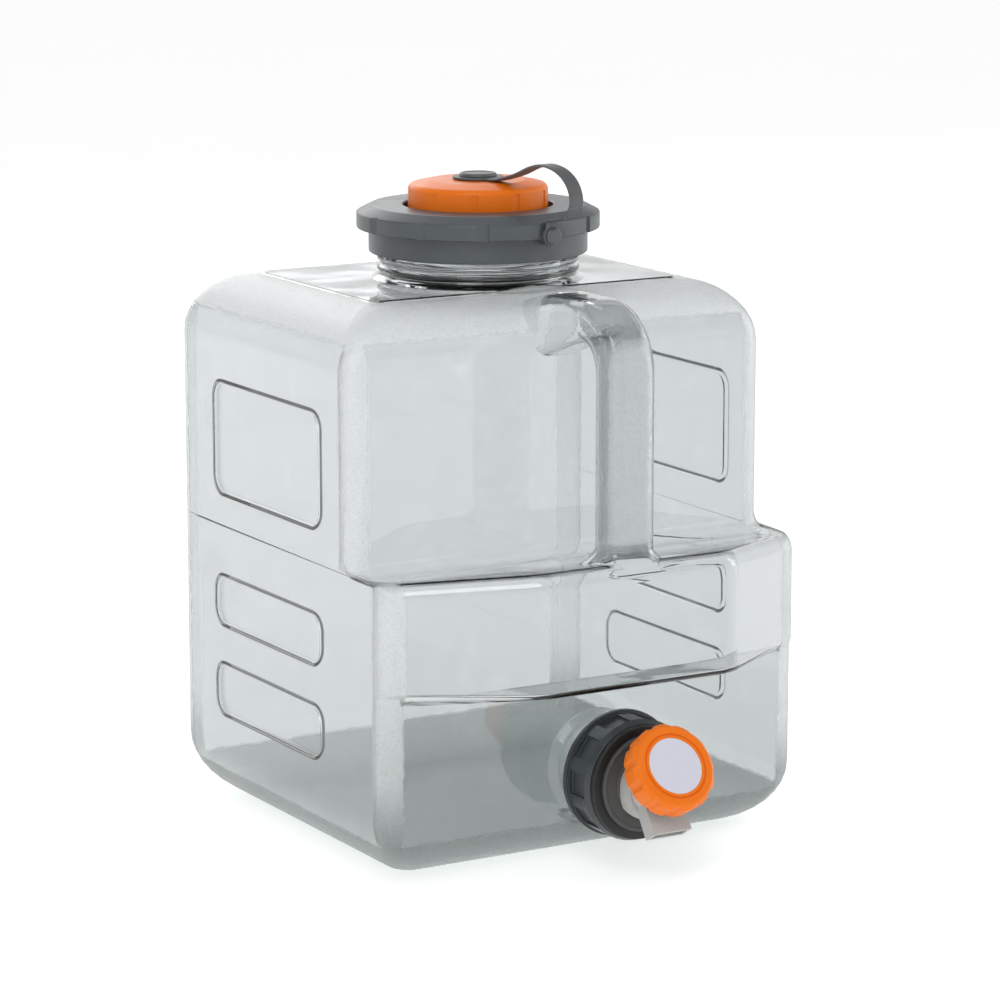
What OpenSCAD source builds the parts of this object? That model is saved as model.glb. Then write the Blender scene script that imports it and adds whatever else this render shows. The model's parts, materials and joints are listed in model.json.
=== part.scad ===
// Water tank with a moulded handle, a screw lid with a tethered fill cap,
// and a twist tap. Millimetres, +Z up. The origin is on the resting face,
// under the middle of the upper tank. The tap is at the front, towards -Y.

/* [Tank] */
// Width from side to side
tank_w = 226; // [216:1:236]
// Depth of the upper tank, behind the handle
upper_depth = 176; // [168:1:184]
// Height of the flat top
tank_h = 263; // [258:1:270]
// Wall thickness
wall = 1.8; // [1.4:0.1:2.4]
// Radius of the four upright corners
corner_r = 9; // [7:1:12]
// Radius of the rounding round the top
top_r = 29; // [24:1:32]
// Radius of the rounding round the base
base_r = 32; // [26:1:34]

/* [Belly] */
// How far the lower front panel stands ahead of the upper front wall
panel_out = 31.5; // [28:0.5:33]
// How far the belly stands ahead of the upper front wall at its corners
belly_out = 33; // [33:0.5:36]
// How far the bay in the middle of the belly stands ahead of its corners
bay_out = 39; // [34:1:42]
// Half width of the bay's flat front
bay_half = 50; // [44:1:56]
// Height of the belly's lower lip
lip_z = 92; // [88:1:94]
// Height of the shelf on top of the belly, at its front corners
shelf_z = 143; // [140:1:148]
// How much higher the bay's upper edge is than the corners
shelf_rise = 6; // [3:0.5:8]
// How far the shelf's foot at the wall lies below its corners
shelf_dip = 3; // [1:0.5:4]

/* [Handle] */
// Width of the hollow grip
grip_w = 25.3; // [22:0.1:28]
// Depth of the hollow grip, front to back
grip_d = 19.5; // [17:0.5:22]
// Distance of the grip's front from the upper front wall
grip_out = 65; // [60:1:68]
// Outer radius of the bend at the top of the handle
bend_r = 32; // [28:1:34]

/* [Lid] */
// Distance of the filling neck's axis behind the origin
neck_y = -10; // [-14:1:-6]
// Outer radius of the filling neck's wall
neck_r = 47.4; // [46:0.1:49]
// Height of the neck's rim
neck_top = 292.8; // [290:0.1:296]
// Rise of the lid's thread in one turn
lid_lead = 6; // [5:0.5:7]
// Rise of the fill cap's thread in one turn
fill_lead = 4; // [3.5:0.5:5]

/* [Tap] */
// Height of the outlet's axis
outlet_z = 47; // [45:1:50]
// Rise of the outlet cap's thread in one turn
outlet_lead = 3.2; // [3:0.1:3.6]
// Angle of the knob's axis above the level
knob_tilt = 33; // [28:1:36]
// Radius of the knob
knob_r = 20.9; // [19.5:0.1:22]
// Length of the knob
knob_len = 12; // [11:0.5:13]

/* [Hidden] */

$fn = 72;
eps = 0.01;

clear_tint = [0.80, 0.84, 0.83, 0.45];
lid_grey = [0.30, 0.33, 0.34];
cap_orange = [0.96, 0.52, 0.15];
collar_grey = [0.24, 0.26, 0.26];
spout_grey = [0.76, 0.76, 0.76];
seal_white = [0.88, 0.88, 0.86];
rubber_black = [0.08, 0.08, 0.08];
steel = [0.66, 0.67, 0.69];

front_y = -upper_depth / 2;
back_y = upper_depth / 2;
side_x = tank_w / 2;

// ---- tank walls -------------------------------------------------------

corner_steps = 4;
round_steps = 5;
// Radius of the plan's corners on the flat top and on the base
flat_corner_r = 12;
belly_round = 8;
bend_width = 4;

function arc_points(cx, cy, r, from, to, steps) =
    [for (i = [0:steps]) let (a = from + (to - from) * i / steps)
        [cx + r * cos(a), cy + r * sin(a)]];

// Plan of the tank at one level, anticlockwise: inset from the full plan,
// with the front moved out and a bay with slanted sides in its middle.
function plan(inset, out, bay, r) =
    let (
        x = side_x - inset,
        yb = back_y - inset,
        yf = front_y - out + inset,
        slope = bay / (x - r - bay_half),
        side = bay - bend_width * slope
    )
    concat(
        arc_points(-x + r, yf + r, r, 180, 270, corner_steps),
        [[-bay_half - bend_width, yf - side], [-bay_half + bend_width, yf - bay]],
        [[bay_half - bend_width, yf - bay], [bay_half + bend_width, yf - side]],
        arc_points(x - r, yf + r, r, 270, 360, corner_steps),
        arc_points(x - r, yb - r, r, 0, 90, corner_steps),
        arc_points(-x + r, yb - r, r, 90, 180, corner_steps)
    );

// The tank's levels from the base up. Each is [height, inset, front out,
// bay out, corner radius, lean, all_round, bay rise, front dip]. lean is
// how far the outward normal points up, and all_round says that every side
// leans, not only the front. The bay stands higher than the level by its
// rise, and the whole front lies lower by its dip.
function mix(a, b, t) = a + (b - a) * t;
function base_levels() =
    [for (i = [0:round_steps]) let (a = 90 * i / round_steps)
        [base_r * (1 - cos(a)), base_r * (1 - sin(a)), panel_out, 0,
         mix(flat_corner_r, corner_r, sin(a)), a - 90, true, 0, 0]];
function belly_levels() = concat(
    [
        [lip_z - 5, 0, panel_out, 0, corner_r, -45, false, 0, 0],
        [lip_z - 2, 0, belly_out - 2, bay_out * 0.97, corner_r, -60, false, 2, 0],
        [lip_z - 0.5, 0, belly_out - 0.5, bay_out * 0.99, corner_r, -25, false, 2, 0],
        [lip_z + 3, 0, belly_out, bay_out, corner_r, 0, false, 2, 0],
    ],
    [for (a = [0:22.5:90])
        [shelf_z - belly_round * (1 - sin(a)), 0, belly_out - belly_round * (1 - cos(a)),
         bay_out, corner_r, a, false, shelf_rise, 0]],
    [
        [shelf_z + 1, 0, 5, 0, corner_r, 75, false, 0, shelf_dip],
        [shelf_z + 2, 0, 1.8, 0, corner_r, 45, false, 0, shelf_dip],
        [shelf_z + 5, 0, 0, 0, corner_r, 0, false, 0, shelf_dip],
    ]
);
function top_levels() =
    [for (i = [0:round_steps]) let (a = 90 * i / round_steps)
        [tank_h - top_r * (1 - sin(a)), top_r * (1 - cos(a)), 0, 0,
         mix(corner_r, flat_corner_r, sin(a)), a, true, 0, 0]];
function levels() = concat(base_levels(), belly_levels(), top_levels());

// A level moved inwards by the thickness t
function moved_in(level, t) =
    let (lean = level[5], level_out = t * (1 - cos(lean)), all = level[6])
    [level[0] - t * sin(lean),
     level[1] + (all ? t * cos(lean) : t),
     level[2] + (all ? 0 : level_out),
     level[3],
     max(level[4] - t * cos(lean), 4),
     lean, all, level[7], level[8]];

// How far point i of a plan counts as front: the points of the two front
// corners come gradually
front_last = 2 * corner_steps + 5;
function front_share(i) = i > front_last ? 0
    : min(1, i / corner_steps, (front_last - i) / corner_steps);
function bay_share(i) = i > corner_steps && i < front_last - corner_steps ? 1 : 0;

// Closed skin through rings that all have the same number of points
module skin(rings) {
    n = len(rings[0]);
    last = len(rings) - 1;
    polyhedron(
        points = [for (ring = rings) each ring],
        faces = concat(
            [[for (i = [0:n - 1]) i]],
            [for (k = [0:last - 1], i = [0:n - 1]) let (j = (i + 1) % n)
                each [[k * n + i, (k + 1) * n + i, (k + 1) * n + j],
                      [k * n + i, (k + 1) * n + j, k * n + j]]],
            [[for (i = [0:n - 1]) last * n + n - 1 - i]]
        ));
}

module tank_form(t) {
    skin([for (level = levels())
        let (m = moved_in(level, t), outline = plan(m[1], m[2], m[3], m[4]))
        [for (i = [0:len(outline) - 1])
            [outline[i][0], outline[i][1],
             m[0] + m[7] * bay_share(i) - m[8] * front_share(i)]]]);
}

// ---- handle -----------------------------------------------------------

section_steps = 3;
grip_y = front_y - grip_out + grip_d / 2;
bend_mid_r = bend_r - grip_d / 2;
bend_y = grip_y + bend_mid_r;
arm_top = tank_h + 3;
bend_z = arm_top - bend_r;
grip_round = 7;

// Stations along the handle: [y, z, direction, width, thickness]
function handle_stations() = concat(
    [
        [grip_y, shelf_z - 20, 90, grip_w + 6, grip_d + 4],
        [grip_y, shelf_z + 2, 90, grip_w + 5, grip_d + 3],
        [grip_y, shelf_z + 10, 90, grip_w, grip_d],
    ],
    [for (a = [0:15:90])
        [bend_y - bend_mid_r * cos(a), bend_z + bend_mid_r * sin(a),
         90 - a, grip_w, grip_d]],
    [
        [bend_y + 14, arm_top - 11.5, 0, grip_w + 1, 23],
        [front_y - 1, arm_top - 15, 0, grip_w + 4, 30],
        [front_y + 10, arm_top - 18.5, 0, grip_w + 5, 30],
        [front_y + 20, arm_top - 22, 0, grip_w + 5, 26],
    ]
);

// Ring of the handle's section at one station, thinned by t all round
function handle_ring(s, t) =
    let (w = s[3] / 2 - t, d = s[4] / 2 - t, r = grip_round - t)
    [for (q = [0:3], i = [0:section_steps])
        let (
            a = 90 * q + 90 * i / section_steps,
            u = (q == 0 || q == 3 ? w - r : r - w) + r * cos(a),
            v = (q < 2 ? d - r : r - d) + r * sin(a)
        )
        [u, s[0] + v * sin(s[2]), s[1] - v * cos(s[2])]];

module handle_form(t) {
    skin([for (s = handle_stations()) [for (p = handle_ring(s, t)) p]]);
}

// ---- threads ----------------------------------------------------------

thread_steps = 30;
root_bite = 0.6;

// Ridge of a screw thread on a wall of radius r about +Z. It stands out
// by h, or in when h is negative, and fades in and out at its ends.
module ridge(r, h, lead, turns, root_w, crest_w, start) {
    n = round(thread_steps * turns);
    bite = h > 0 ? -root_bite : root_bite;
    flip = h > 0 ? -1 : 1;
    skin([for (i = [0:n])
        let (
            a = start + 360 * turns * i / n,
            z = lead * turns * i / n,
            fade = min(1, (i + 0.6) / 4, (n - i + 0.6) / 4),
            tip = r + h * fade,
            foot = r + bite
        )
        [for (p = [[foot, -root_w / 2 * flip], [tip, -crest_w / 2 * flip],
                   [tip, crest_w / 2 * flip], [foot, root_w / 2 * flip]])
            [p[0] * cos(a), p[0] * sin(a), z + p[1]]]]);
}

// ---- outlet and tap places --------------------------------------------

panel_y = front_y - panel_out;
outlet_r = 22.6;
outlet_bore_r = 20.2;
outlet_rim_y = panel_y - 34;
outlet_gasket_t = 2;
cap_face_t = 3;
cap_inner_y = outlet_rim_y - outlet_gasket_t;
cap_front_y = cap_inner_y - cap_face_t;
outlet_thread_y = outlet_rim_y + 9.5;
shank_r = 10;

// Puts a shape made about +Z on the outlet's axis, with +Z towards -Y
// and z = 0 at the given y
module on_outlet(y) {
    translate([0, y, outlet_z]) rotate([90, 0, 0]) children();
}

// Middle of the label's face, and the knob's own frame: +Z out of the
// label along the knob's axis, z = 0 at the label's face
label_y = front_y - 100.2;
label_z = 61.3;
module on_knob() {
    translate([0, label_y, label_z]) rotate([90 - knob_tilt, 0, 0]) children();
}

// ---- tank -------------------------------------------------------------

neck_wall = 2.2;
neck_bore_r = neck_r - neck_wall;
bead_r = 1.5;
ridge_h = 1.9;
small_ridge_h = 1.4;

module neck_outside() {
    translate([0, neck_y, 0]) {
        translate([0, 0, tank_h - 1])
            cylinder(r = neck_r, h = neck_top - tank_h + 1);
        translate([0, 0, tank_h - eps])
            cylinder(r1 = neck_r + 3, r2 = neck_r, h = 2.5);
        for (z = [tank_h + 5, tank_h + 9.6])
            translate([0, 0, z]) rotate_extrude()
                translate([neck_r - 0.4, 0]) circle(r = bead_r, $fn = 24);
    }
}

module neck_thread() {
    translate([0, neck_y, tank_h + 15])
        ridge(neck_r, ridge_h, lid_lead, 1.5, 2.6, 1.4, 0);
}

module outlet_outside() {
    on_outlet(panel_y + wall / 2)
        cylinder(r = outlet_r, h = panel_y + wall / 2 - outlet_rim_y);
    on_outlet(panel_y + wall / 2)
        cylinder(r1 = outlet_r + 4, r2 = outlet_r, h = 5);
}

module outlet_thread() {
    on_outlet(outlet_thread_y)
        ridge(outlet_r, small_ridge_h, outlet_lead, 2, 1.5, 0.7, 0);
}

// Shallow recesses in the sides: [low y, high y, low z, high z]
side_recesses = [[-58, 50, 159, 213], [-58, 50, 94, 117.5], [-58, 50, 49, 73.5]];
recess_depth = 1.6;
recess_r = 8;

module recess_block(box, depth, grow) {
    for (side = [-1, 1])
        translate([side * (side_x - depth / 2 + 2), 0, 0])
            rotate([90, 0, 90])
                translate([0, 0, -depth / 2 - 2])
                    linear_extrude(height = depth + 4)
                        rounded_rect(box, grow);
}

// Rounded rectangle of two slabs and four discs, grown all round
module rounded_rect(box, grow) {
    r = recess_r + grow;
    y0 = box[0] - grow;
    y1 = box[1] + grow;
    z0 = box[2] - grow;
    z1 = box[3] + grow;
    translate([y0 + r, z0]) square([y1 - y0 - 2 * r, z1 - z0]);
    translate([y0, z0 + r]) square([y1 - y0, z1 - z0 - 2 * r]);
    for (y = [y0 + r, y1 - r], z = [z0 + r, z1 - r])
        translate([y, z]) circle(r = r, $fn = 32);
}

module tank() {
    color(clear_tint) difference() {
        union() {
            difference() {
                tank_form(0);
                for (box = side_recesses) recess_block(box, recess_depth, 0);
            }
            handle_form(0);
            neck_outside();
            neck_thread();
            outlet_outside();
            outlet_thread();
        }
        difference() {
            tank_form(wall);
            for (box = side_recesses)
                recess_block(box, recess_depth + wall, wall);
        }
        handle_form(wall);
        translate([0, neck_y, tank_h - 2 * wall])
            cylinder(r = neck_bore_r, h = neck_top - tank_h + 2 * wall + 1);
        on_outlet(panel_y + 2 * wall)
            cylinder(r = outlet_bore_r, h = panel_y + 2 * wall - outlet_rim_y + 1);
    }
}

// ---- main cap ---------------------------------------------------------

lid_top = neck_top + 5.2;
lid_under = neck_top + 2.4;
skirt_low = tank_h + 12.5;
skirt_r = 52.6;
skirt_in = 50.2;
flange_r = 58.4;
flange_low = skirt_low + 11.5;
flange_high = flange_low + 7.5;
well_r = 36;
well_floor = lid_top - 8;
floor_t = 2.5;
spout_r = 27;
spout_in = 24.2;
spout_top = lid_top + 6.3;
fill_ridge_h = 1.6;
notch_count = 12;
notch_angle = -114.85;
notch_len = 14;
notch_depth = 2.4;

module lid_profile() {
    polygon([
        [skirt_in, skirt_low], [skirt_r, skirt_low], [skirt_r, flange_low],
        [flange_r, flange_low], [flange_r, flange_high], [51.5, lid_top],
        [well_r, lid_top], [well_r, well_floor], [spout_r, well_floor],
        [spout_r, spout_top], [spout_in, spout_top],
        [spout_in, well_floor - floor_t], [well_r + floor_t, well_floor - floor_t],
        [well_r + floor_t, lid_under], [skirt_in, lid_under],
    ]);
}

// Saw-toothed finger notches: each starts flush and ends at a step
module lid_notches() {
    for (i = [0:notch_count - 1])
        rotate([0, 0, notch_angle + 360 / notch_count * i])
            translate([flange_r, 0, flange_low - 1])
                rotate([0, 0, atan(notch_depth / notch_len)])
                    translate([-notch_depth, -notch_len - 1, 0])
                        cube([notch_depth + 4, notch_len + 1, flange_high - flange_low + 4]);
}

module main_cap() {
    color(lid_grey) translate([0, neck_y, 0]) difference() {
        union() {
            difference() {
                rotate_extrude($fn = 120) lid_profile();
                lid_notches();
            }
            pin_seat();
            translate([0, 0, tank_h + 15 + lid_lead / 2])
                ridge(skirt_in, -ridge_h, lid_lead, 1.5, 2.6, 1.4, 0);
            translate([0, 0, well_floor + 4.5])
                ridge(spout_r, fill_ridge_h, fill_lead, 1.5, 1.7, 0.8, 0);
        }
        pin_hole();
    }
}

module main_cap_gasket() {
    color(seal_white) translate([0, neck_y, neck_top])
        rotate_extrude()
            translate([neck_bore_r - 1, 0])
                square([neck_r - neck_bore_r + 3, lid_under - neck_top]);
}

// ---- tether pin -------------------------------------------------------

pin_angle = -84.6;
pin_z = flange_low + 1.5;
pin_r = 2.2;
pin_seat_r = 59;

// Puts a shape on the pin's axis, with +Z pointing out from the lid
module on_pin(r) {
    rotate([0, 0, pin_angle]) translate([r, 0, pin_z]) rotate([0, 90, 0]) children();
}

module pin_seat() {
    on_pin(52) cylinder(r = 4.5, h = pin_seat_r - 52, $fn = 40);
}

module pin_hole() {
    on_pin(54) cylinder(r = pin_r, h = 8, $fn = 40);
}

module tether_pin() {
    color(lid_grey) translate([0, neck_y, 0]) {
        on_pin(54) cylinder(r = pin_r, h = pin_seat_r + 2 - 54, $fn = 40);
        on_pin(pin_seat_r + 2 - eps) cylinder(r1 = 4.2, r2 = 3.4, h = 1.4, $fn = 40);
    }
}

// ---- fill cap ---------------------------------------------------------

fill_r = 33.6;
fill_in = 29.6;
fill_low = well_floor + 1;
fill_edge = lid_top + 9.5;
fill_top = lid_top + 11.7;
fill_seal_t = 2.2;
fill_under = spout_top + fill_seal_t;
flute_count = 10;
flute_angle = -119.65;
flute_depth = 1.2;
button_hole_r = 4.6;

module fill_profile() {
    difference() {
        union() {
            translate([0, fill_low]) square([fill_r, fill_edge - 3 - fill_low]);
            translate([0, fill_edge - 3]) square([fill_r - 3, 3]);
            translate([fill_r - 3, fill_edge - 3]) circle(r = 3, $fn = 32);
            polygon([[0, fill_edge - eps], [fill_r - 3, fill_edge - eps],
                     [23, fill_top], [0, fill_top]]);
        }
        translate([-fill_r, fill_low - 1]) square([fill_r, 40]);
        translate([-eps, fill_low - 1]) square([fill_in, fill_under - fill_low + 1]);
        translate([-eps, fill_low - 1]) square([button_hole_r, 40]);
    }
}

module fill_cap() {
    color(cap_orange) translate([0, neck_y, 0]) {
        difference() {
            rotate_extrude($fn = 120) fill_profile();
            for (i = [0:flute_count - 1])
                rotate([0, 0, flute_angle + 360 / flute_count * i])
                    translate([fill_r, 0, fill_low - 1])
                        rotate([0, 0, 5])
                            translate([-flute_depth, -16, 0])
                                cube([flute_depth + 4, 16, fill_edge - fill_low - 1]);
        }
        translate([0, 0, well_floor + 4.5 + fill_lead / 2])
            ridge(fill_in, -fill_ridge_h, fill_lead, 1.25, 1.7, 0.8, 0);
    }
}

module fill_cap_gasket() {
    color(seal_white) translate([0, neck_y, spout_top])
        rotate_extrude() translate([spout_in - 2, 0]) square([6.5, fill_seal_t]);
}

// ---- tether -----------------------------------------------------------

strap_w = 7.5;
strap_t = 1.2;
band_t = 1;
strap_z = fill_top + 0.25 + strap_t / 2;
button_r = 9.3;
eyelet_r = 12.2;
tether_end_r = 5;

module tether_button() {
    color(lid_grey) translate([0, neck_y, 0]) {
        translate([0, 0, strap_z + strap_t / 2 + 0.05])
            cylinder(r1 = button_r, r2 = button_r - 1, h = 1.6);
        translate([0, 0, fill_under - 2.4])
            cylinder(r = button_hole_r - 0.08, h = strap_z - fill_under + 4);
        translate([0, 0, fill_under - 2.4])
            cylinder(r1 = 4.6, r2 = 6.2, h = 2.3);
    }
}

// Middle line of the strap, from the eyelet out: [distance from the lid's
// axis, height]. A round curve is drawn through these.
strap_knots = [
    [8, strap_z], [18, strap_z + 0.4], [34, strap_z + 4.5], [46, strap_z + 9],
    [56, strap_z + 10.8], [67, strap_z + 9], [75, strap_z + 4],
    [78.5, strap_z - 3], [76.5, strap_z - 9], [71, strap_z - 12.5],
    [64.5, strap_z - 14], [pin_seat_r + 1.3, pin_z + 7],
    [pin_seat_r + 1, pin_z + 4.6], [pin_seat_r + 1, pin_z],
];
strap_steps = 3;

function curve_point(p0, p1, p2, p3, t) =
    0.5 * ((2 * p1) + (p2 - p0) * t + (2 * p0 - 5 * p1 + 4 * p2 - p3) * t * t
           + (3 * p1 - p0 - 3 * p2 + p3) * t * t * t);
function strap_line() =
    let (k = strap_knots, last = len(k) - 1)
    [for (i = [0:last - 1], s = [0:strap_steps - 1])
        curve_point(k[max(i - 1, 0)], k[i], k[i + 1], k[min(i + 2, last)],
                    s / strap_steps),
     k[last]];

module strap_band() {
    line = strap_line();
    last = len(line) - 1;
    skin([for (i = [0:last])
        let (
            along = line[min(i + 1, last)] - line[max(i - 1, 0)],
            side = [-along[1], along[0]] / norm(along) * band_t / 2,
            up = line[i] + side,
            down = line[i] - side,
            w = strap_w / 2
        )
        [[down[0], -w, down[1]], [down[0], w, down[1]],
         [up[0], w, up[1]], [up[0], -w, up[1]]]]);
}

module tether_strap() {
    color(lid_grey) translate([0, neck_y, 0]) difference() {
        union() {
            rotate([0, 0, pin_angle]) strap_band();
            translate([0, 0, strap_z - strap_t / 2])
                cylinder(r = eyelet_r, h = strap_t);
            on_pin(pin_seat_r + 1 - strap_t / 2) cylinder(r = tether_end_r, h = strap_t, $fn = 40);
        }
        translate([0, 0, strap_z - strap_t])
            cylinder(r = button_hole_r + 0.2, h = 2 * strap_t);
        on_pin(pin_seat_r - 2) cylinder(r = pin_r + 0.2, h = 8, $fn = 40);
    }
}

// ---- outlet cap and tap mounting ---------------------------------------

collar_r = 29.9;
collar_front_r = 27.4;
collar_in = 24.7;
collar_back_y = panel_y - 19.4;
washer_r = 27;
washer_t = 2.6;
hub_r = 22.7;
hub_t = 2.4;
hub_front_y = cap_front_y - washer_t - hub_t;
shank_hole_r = shank_r + 0.05;
grip_count = 10;

module outlet_cap() {
    length = collar_back_y - cap_front_y;
    color(collar_grey) on_outlet(collar_back_y) {
        difference() {
            union() {
                cylinder(r = collar_r, h = 2.6);
                cylinder(r = collar_r - 1.2, h = length - 3);
                translate([0, 0, length - 3 - eps])
                    cylinder(r1 = collar_r - 1.2, r2 = collar_front_r, h = 3 + eps);
            }
            translate([0, 0, -1])
                cylinder(r = collar_in, h = length - cap_face_t + 1);
            cylinder(r = shank_hole_r, h = length + 1);
            for (i = [0:grip_count - 1]) rotate([0, 0, 360 / grip_count * i])
                translate([collar_r - 3, -5.6, 4.2])
                    cube([6, 11.2, length - 7.4]);
        }
        translate([0, 0, collar_back_y - outlet_thread_y + outlet_lead / 2])
            ridge(collar_in, -small_ridge_h, outlet_lead, 2, 1.5, 0.7, 0);
    }
}

module outlet_gasket() {
    color(seal_white) on_outlet(outlet_rim_y) difference() {
        cylinder(r = outlet_r + 1.2, h = outlet_gasket_t);
        translate([0, 0, -1]) cylinder(r = outlet_bore_r - 1, h = outlet_gasket_t + 2);
    }
}

module front_washer() {
    color(rubber_black) on_outlet(cap_front_y) difference() {
        cylinder(r = washer_r, h = washer_t);
        translate([0, 0, -1]) cylinder(r = shank_hole_r, h = washer_t + 2);
    }
}

module hub_plate() {
    color(collar_grey) on_outlet(cap_front_y - washer_t) difference() {
        union() {
            cylinder(r = hub_r, h = hub_t - 0.8);
            translate([0, 0, hub_t - 0.8 - eps])
                cylinder(r1 = hub_r, r2 = hub_r - 0.8, h = 0.8 + eps);
        }
        translate([0, 0, -1]) cylinder(r = shank_hole_r, h = hub_t + 2);
    }
}

washer_in_t = 2;
nut_t = 6;
shank_bore_r = 7.4;
shank_end_y = cap_inner_y + washer_in_t + nut_t + 3;

module shank_washer() {
    color(rubber_black) on_outlet(cap_inner_y + washer_in_t) difference() {
        cylinder(r = 16, h = washer_in_t);
        translate([0, 0, -1]) cylinder(r = shank_hole_r, h = washer_in_t + 2);
    }
}

module shank_nut() {
    color(spout_grey) on_outlet(cap_inner_y + washer_in_t + nut_t) difference() {
        cylinder(r = 15.5, h = nut_t, $fn = 6);
        translate([0, 0, -1]) cylinder(r = shank_hole_r, h = nut_t + 2);
    }
}

// ---- tap body ---------------------------------------------------------

boss_r = 14.2;
barrel_r = 14.2;
barrel_bore_r = 9;
knob_back = -knob_len;
barrel_end = -34;
chute_mid = -22.7;
chute_d = 8.4;
chute_w = 20.2;
chute_end = 25.4;
chute_wall = 1.6;
seat_z = -26;
seat_r = 5.2;

module tap_body() {
    color(spout_grey) difference() {
        union() {
            on_outlet(shank_end_y)
                cylinder(r = shank_r, h = shank_end_y - hub_front_y + 1);
            on_outlet(hub_front_y) cylinder(r = boss_r, h = 9);
            on_knob() translate([0, 0, barrel_end])
                cylinder(r = barrel_r, h = knob_back - 1.4 - barrel_end);
            on_knob() translate([-chute_w / 2, -chute_end, chute_mid - chute_d / 2])
                cube([chute_w, chute_end, chute_d]);
        }
        // inlet way, up to the valve seat
        on_outlet(shank_end_y + 1)
            cylinder(r = shank_bore_r, h = shank_end_y - hub_front_y + 7);
        // chamber below the seat, seat and the barrel's bore
        on_knob() translate([0, 0, barrel_end + 2])
            cylinder(r = shank_bore_r, h = seat_z - barrel_end - 3.5);
        on_knob() translate([0, 0, barrel_end + 3])
            cylinder(r = seat_r, h = 10);
        on_knob() translate([0, 0, seat_z])
            cylinder(r = barrel_bore_r, h = 20);
        // chute's way out
        on_knob() translate([-chute_w / 2 + chute_wall, -chute_end - 1,
                             chute_mid - chute_d / 2 + chute_wall])
            cube([chute_w - 2 * chute_wall, chute_end, chute_d - 2 * chute_wall]);
        // nothing of the tap reaches behind the hub plate but its shank
        on_outlet(hub_front_y + 30) difference() {
            cylinder(r = 40, h = 30);
            translate([0, 0, -1]) cylinder(r = shank_r, h = 32);
        }
    }
}

// ---- valve ------------------------------------------------------------

stem_r = 3;
stem_low = seat_z + 4.8;
stem_high = knob_back + 7;
ring_r = 1;
ring_z = knob_back - 3.8;
bonnet_low = knob_back - 5.4;
bonnet_high = knob_back - 1.4;
bonnet_rim_t = 1.1;
plug_t = 2.1;
sleeve_top = seat_z + 5.6;

module valve_bonnet() {
    color(spout_grey) on_knob() difference() {
        union() {
            translate([0, 0, bonnet_low])
                cylinder(r = barrel_bore_r - 0.02, h = bonnet_high - bonnet_low);
            translate([0, 0, bonnet_high])
                cylinder(r = barrel_bore_r + 3, h = bonnet_rim_t);
        }
        translate([0, 0, bonnet_low - 1]) cylinder(r = stem_r + 0.05, h = 9);
        // groove of the ring seal
        translate([0, 0, ring_z - ring_r - 0.1])
            cylinder(r = stem_r + 2 * ring_r + 0.1, h = 2 * ring_r + 0.2);
    }
}

module stem_o_ring() {
    color(rubber_black) on_knob() translate([0, 0, ring_z])
        rotate_extrude()
            translate([stem_r + 0.05 + ring_r, 0]) circle(r = ring_r, $fn = 24);
}

module valve_stem() {
    color(spout_grey) on_knob() difference() {
        translate([0, 0, stem_low]) cylinder(r = stem_r, h = stem_high - stem_low);
        translate([0, 0, screw_low - 0.2])
            cylinder(r = screw_r + 0.02, h = stem_high - screw_low + 1);
    }
}

// Plug with a sleeve round the foot of the stem, which draws it off its seat
module valve_plug() {
    color(seal_white) on_knob() difference() {
        union() {
            translate([0, 0, seat_z]) cylinder(r1 = 6.4, r2 = 7.2, h = plug_t);
            translate([0, 0, seat_z + eps])
                cylinder(r = 5.2, h = sleeve_top - seat_z - eps);
        }
        translate([0, 0, seat_z + plug_t])
            cylinder(r = stem_r + 0.08, h = sleeve_top - seat_z);
    }
}

// ---- knob -------------------------------------------------------------

screw_r = 1.3;
screw_low = -10;
screw_head_z = -3.4;
lobe_count = 12;
valley_r = 3.4;
label_r = 13.4;
label_t = 0.8;
groove_r = 15.6;

module tap_knob() {
    color(cap_orange) on_knob() difference() {
        union() {
            translate([0, 0, knob_back]) cylinder(r = knob_r - 0.4, h = knob_len - 2.2);
            translate([0, 0, -2.2 - eps])
                cylinder(r1 = knob_r, r2 = knob_r - 2.2, h = 2.2 + eps);
            translate([0, 0, -4.6]) cylinder(r = knob_r, h = 2.4);
        }
        for (i = [0:lobe_count - 1]) rotate([0, 0, 360 / lobe_count * (i + 0.5)])
            translate([knob_r + valley_r - 1.3, 0, knob_back - 1])
                cylinder(r = valley_r, h = knob_len + 2, $fn = 32);
        // seat of the label, with a groove round it
        translate([0, 0, -label_t]) cylinder(r = label_r + 0.05, h = 2);
        translate([0, 0, -0.7]) difference() {
            cylinder(r = groove_r, h = 2);
            translate([0, 0, -1]) cylinder(r = groove_r - 0.9, h = 4);
        }
        // hollow back, and the hole for the stem and its screw
        translate([0, 0, knob_back - 1]) difference() {
            cylinder(r = knob_r - 3.2, h = knob_len - 4);
            cylinder(r = 6.2, h = knob_len);
        }
        translate([0, 0, knob_back - 1])
            cylinder(r = stem_r + 0.05, h = stem_high - knob_back + 1.4);
        translate([0, 0, knob_back - 1]) cylinder(r = screw_r + 0.3, h = knob_len);
        translate([0, 0, screw_head_z]) cylinder(r = 3.4, h = 3.4);
    }
}

module knob_label() {
    color([0.92, 0.92, 0.95]) on_knob() translate([0, 0, -label_t])
        cylinder(r = label_r, h = label_t);
}

module knob_screw() {
    color(steel) on_knob() difference() {
        union() {
            translate([0, 0, screw_head_z]) cylinder(r = 3, h = 1.8);
            translate([0, 0, screw_low]) cylinder(r = screw_r, h = screw_head_z - screw_low + 1);
        }
        translate([-0.4, -2, -2.4]) cube([0.8, 4, 2]);
        translate([-2, -0.4, -2.4]) cube([4, 0.8, 2]);
    }
}

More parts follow.
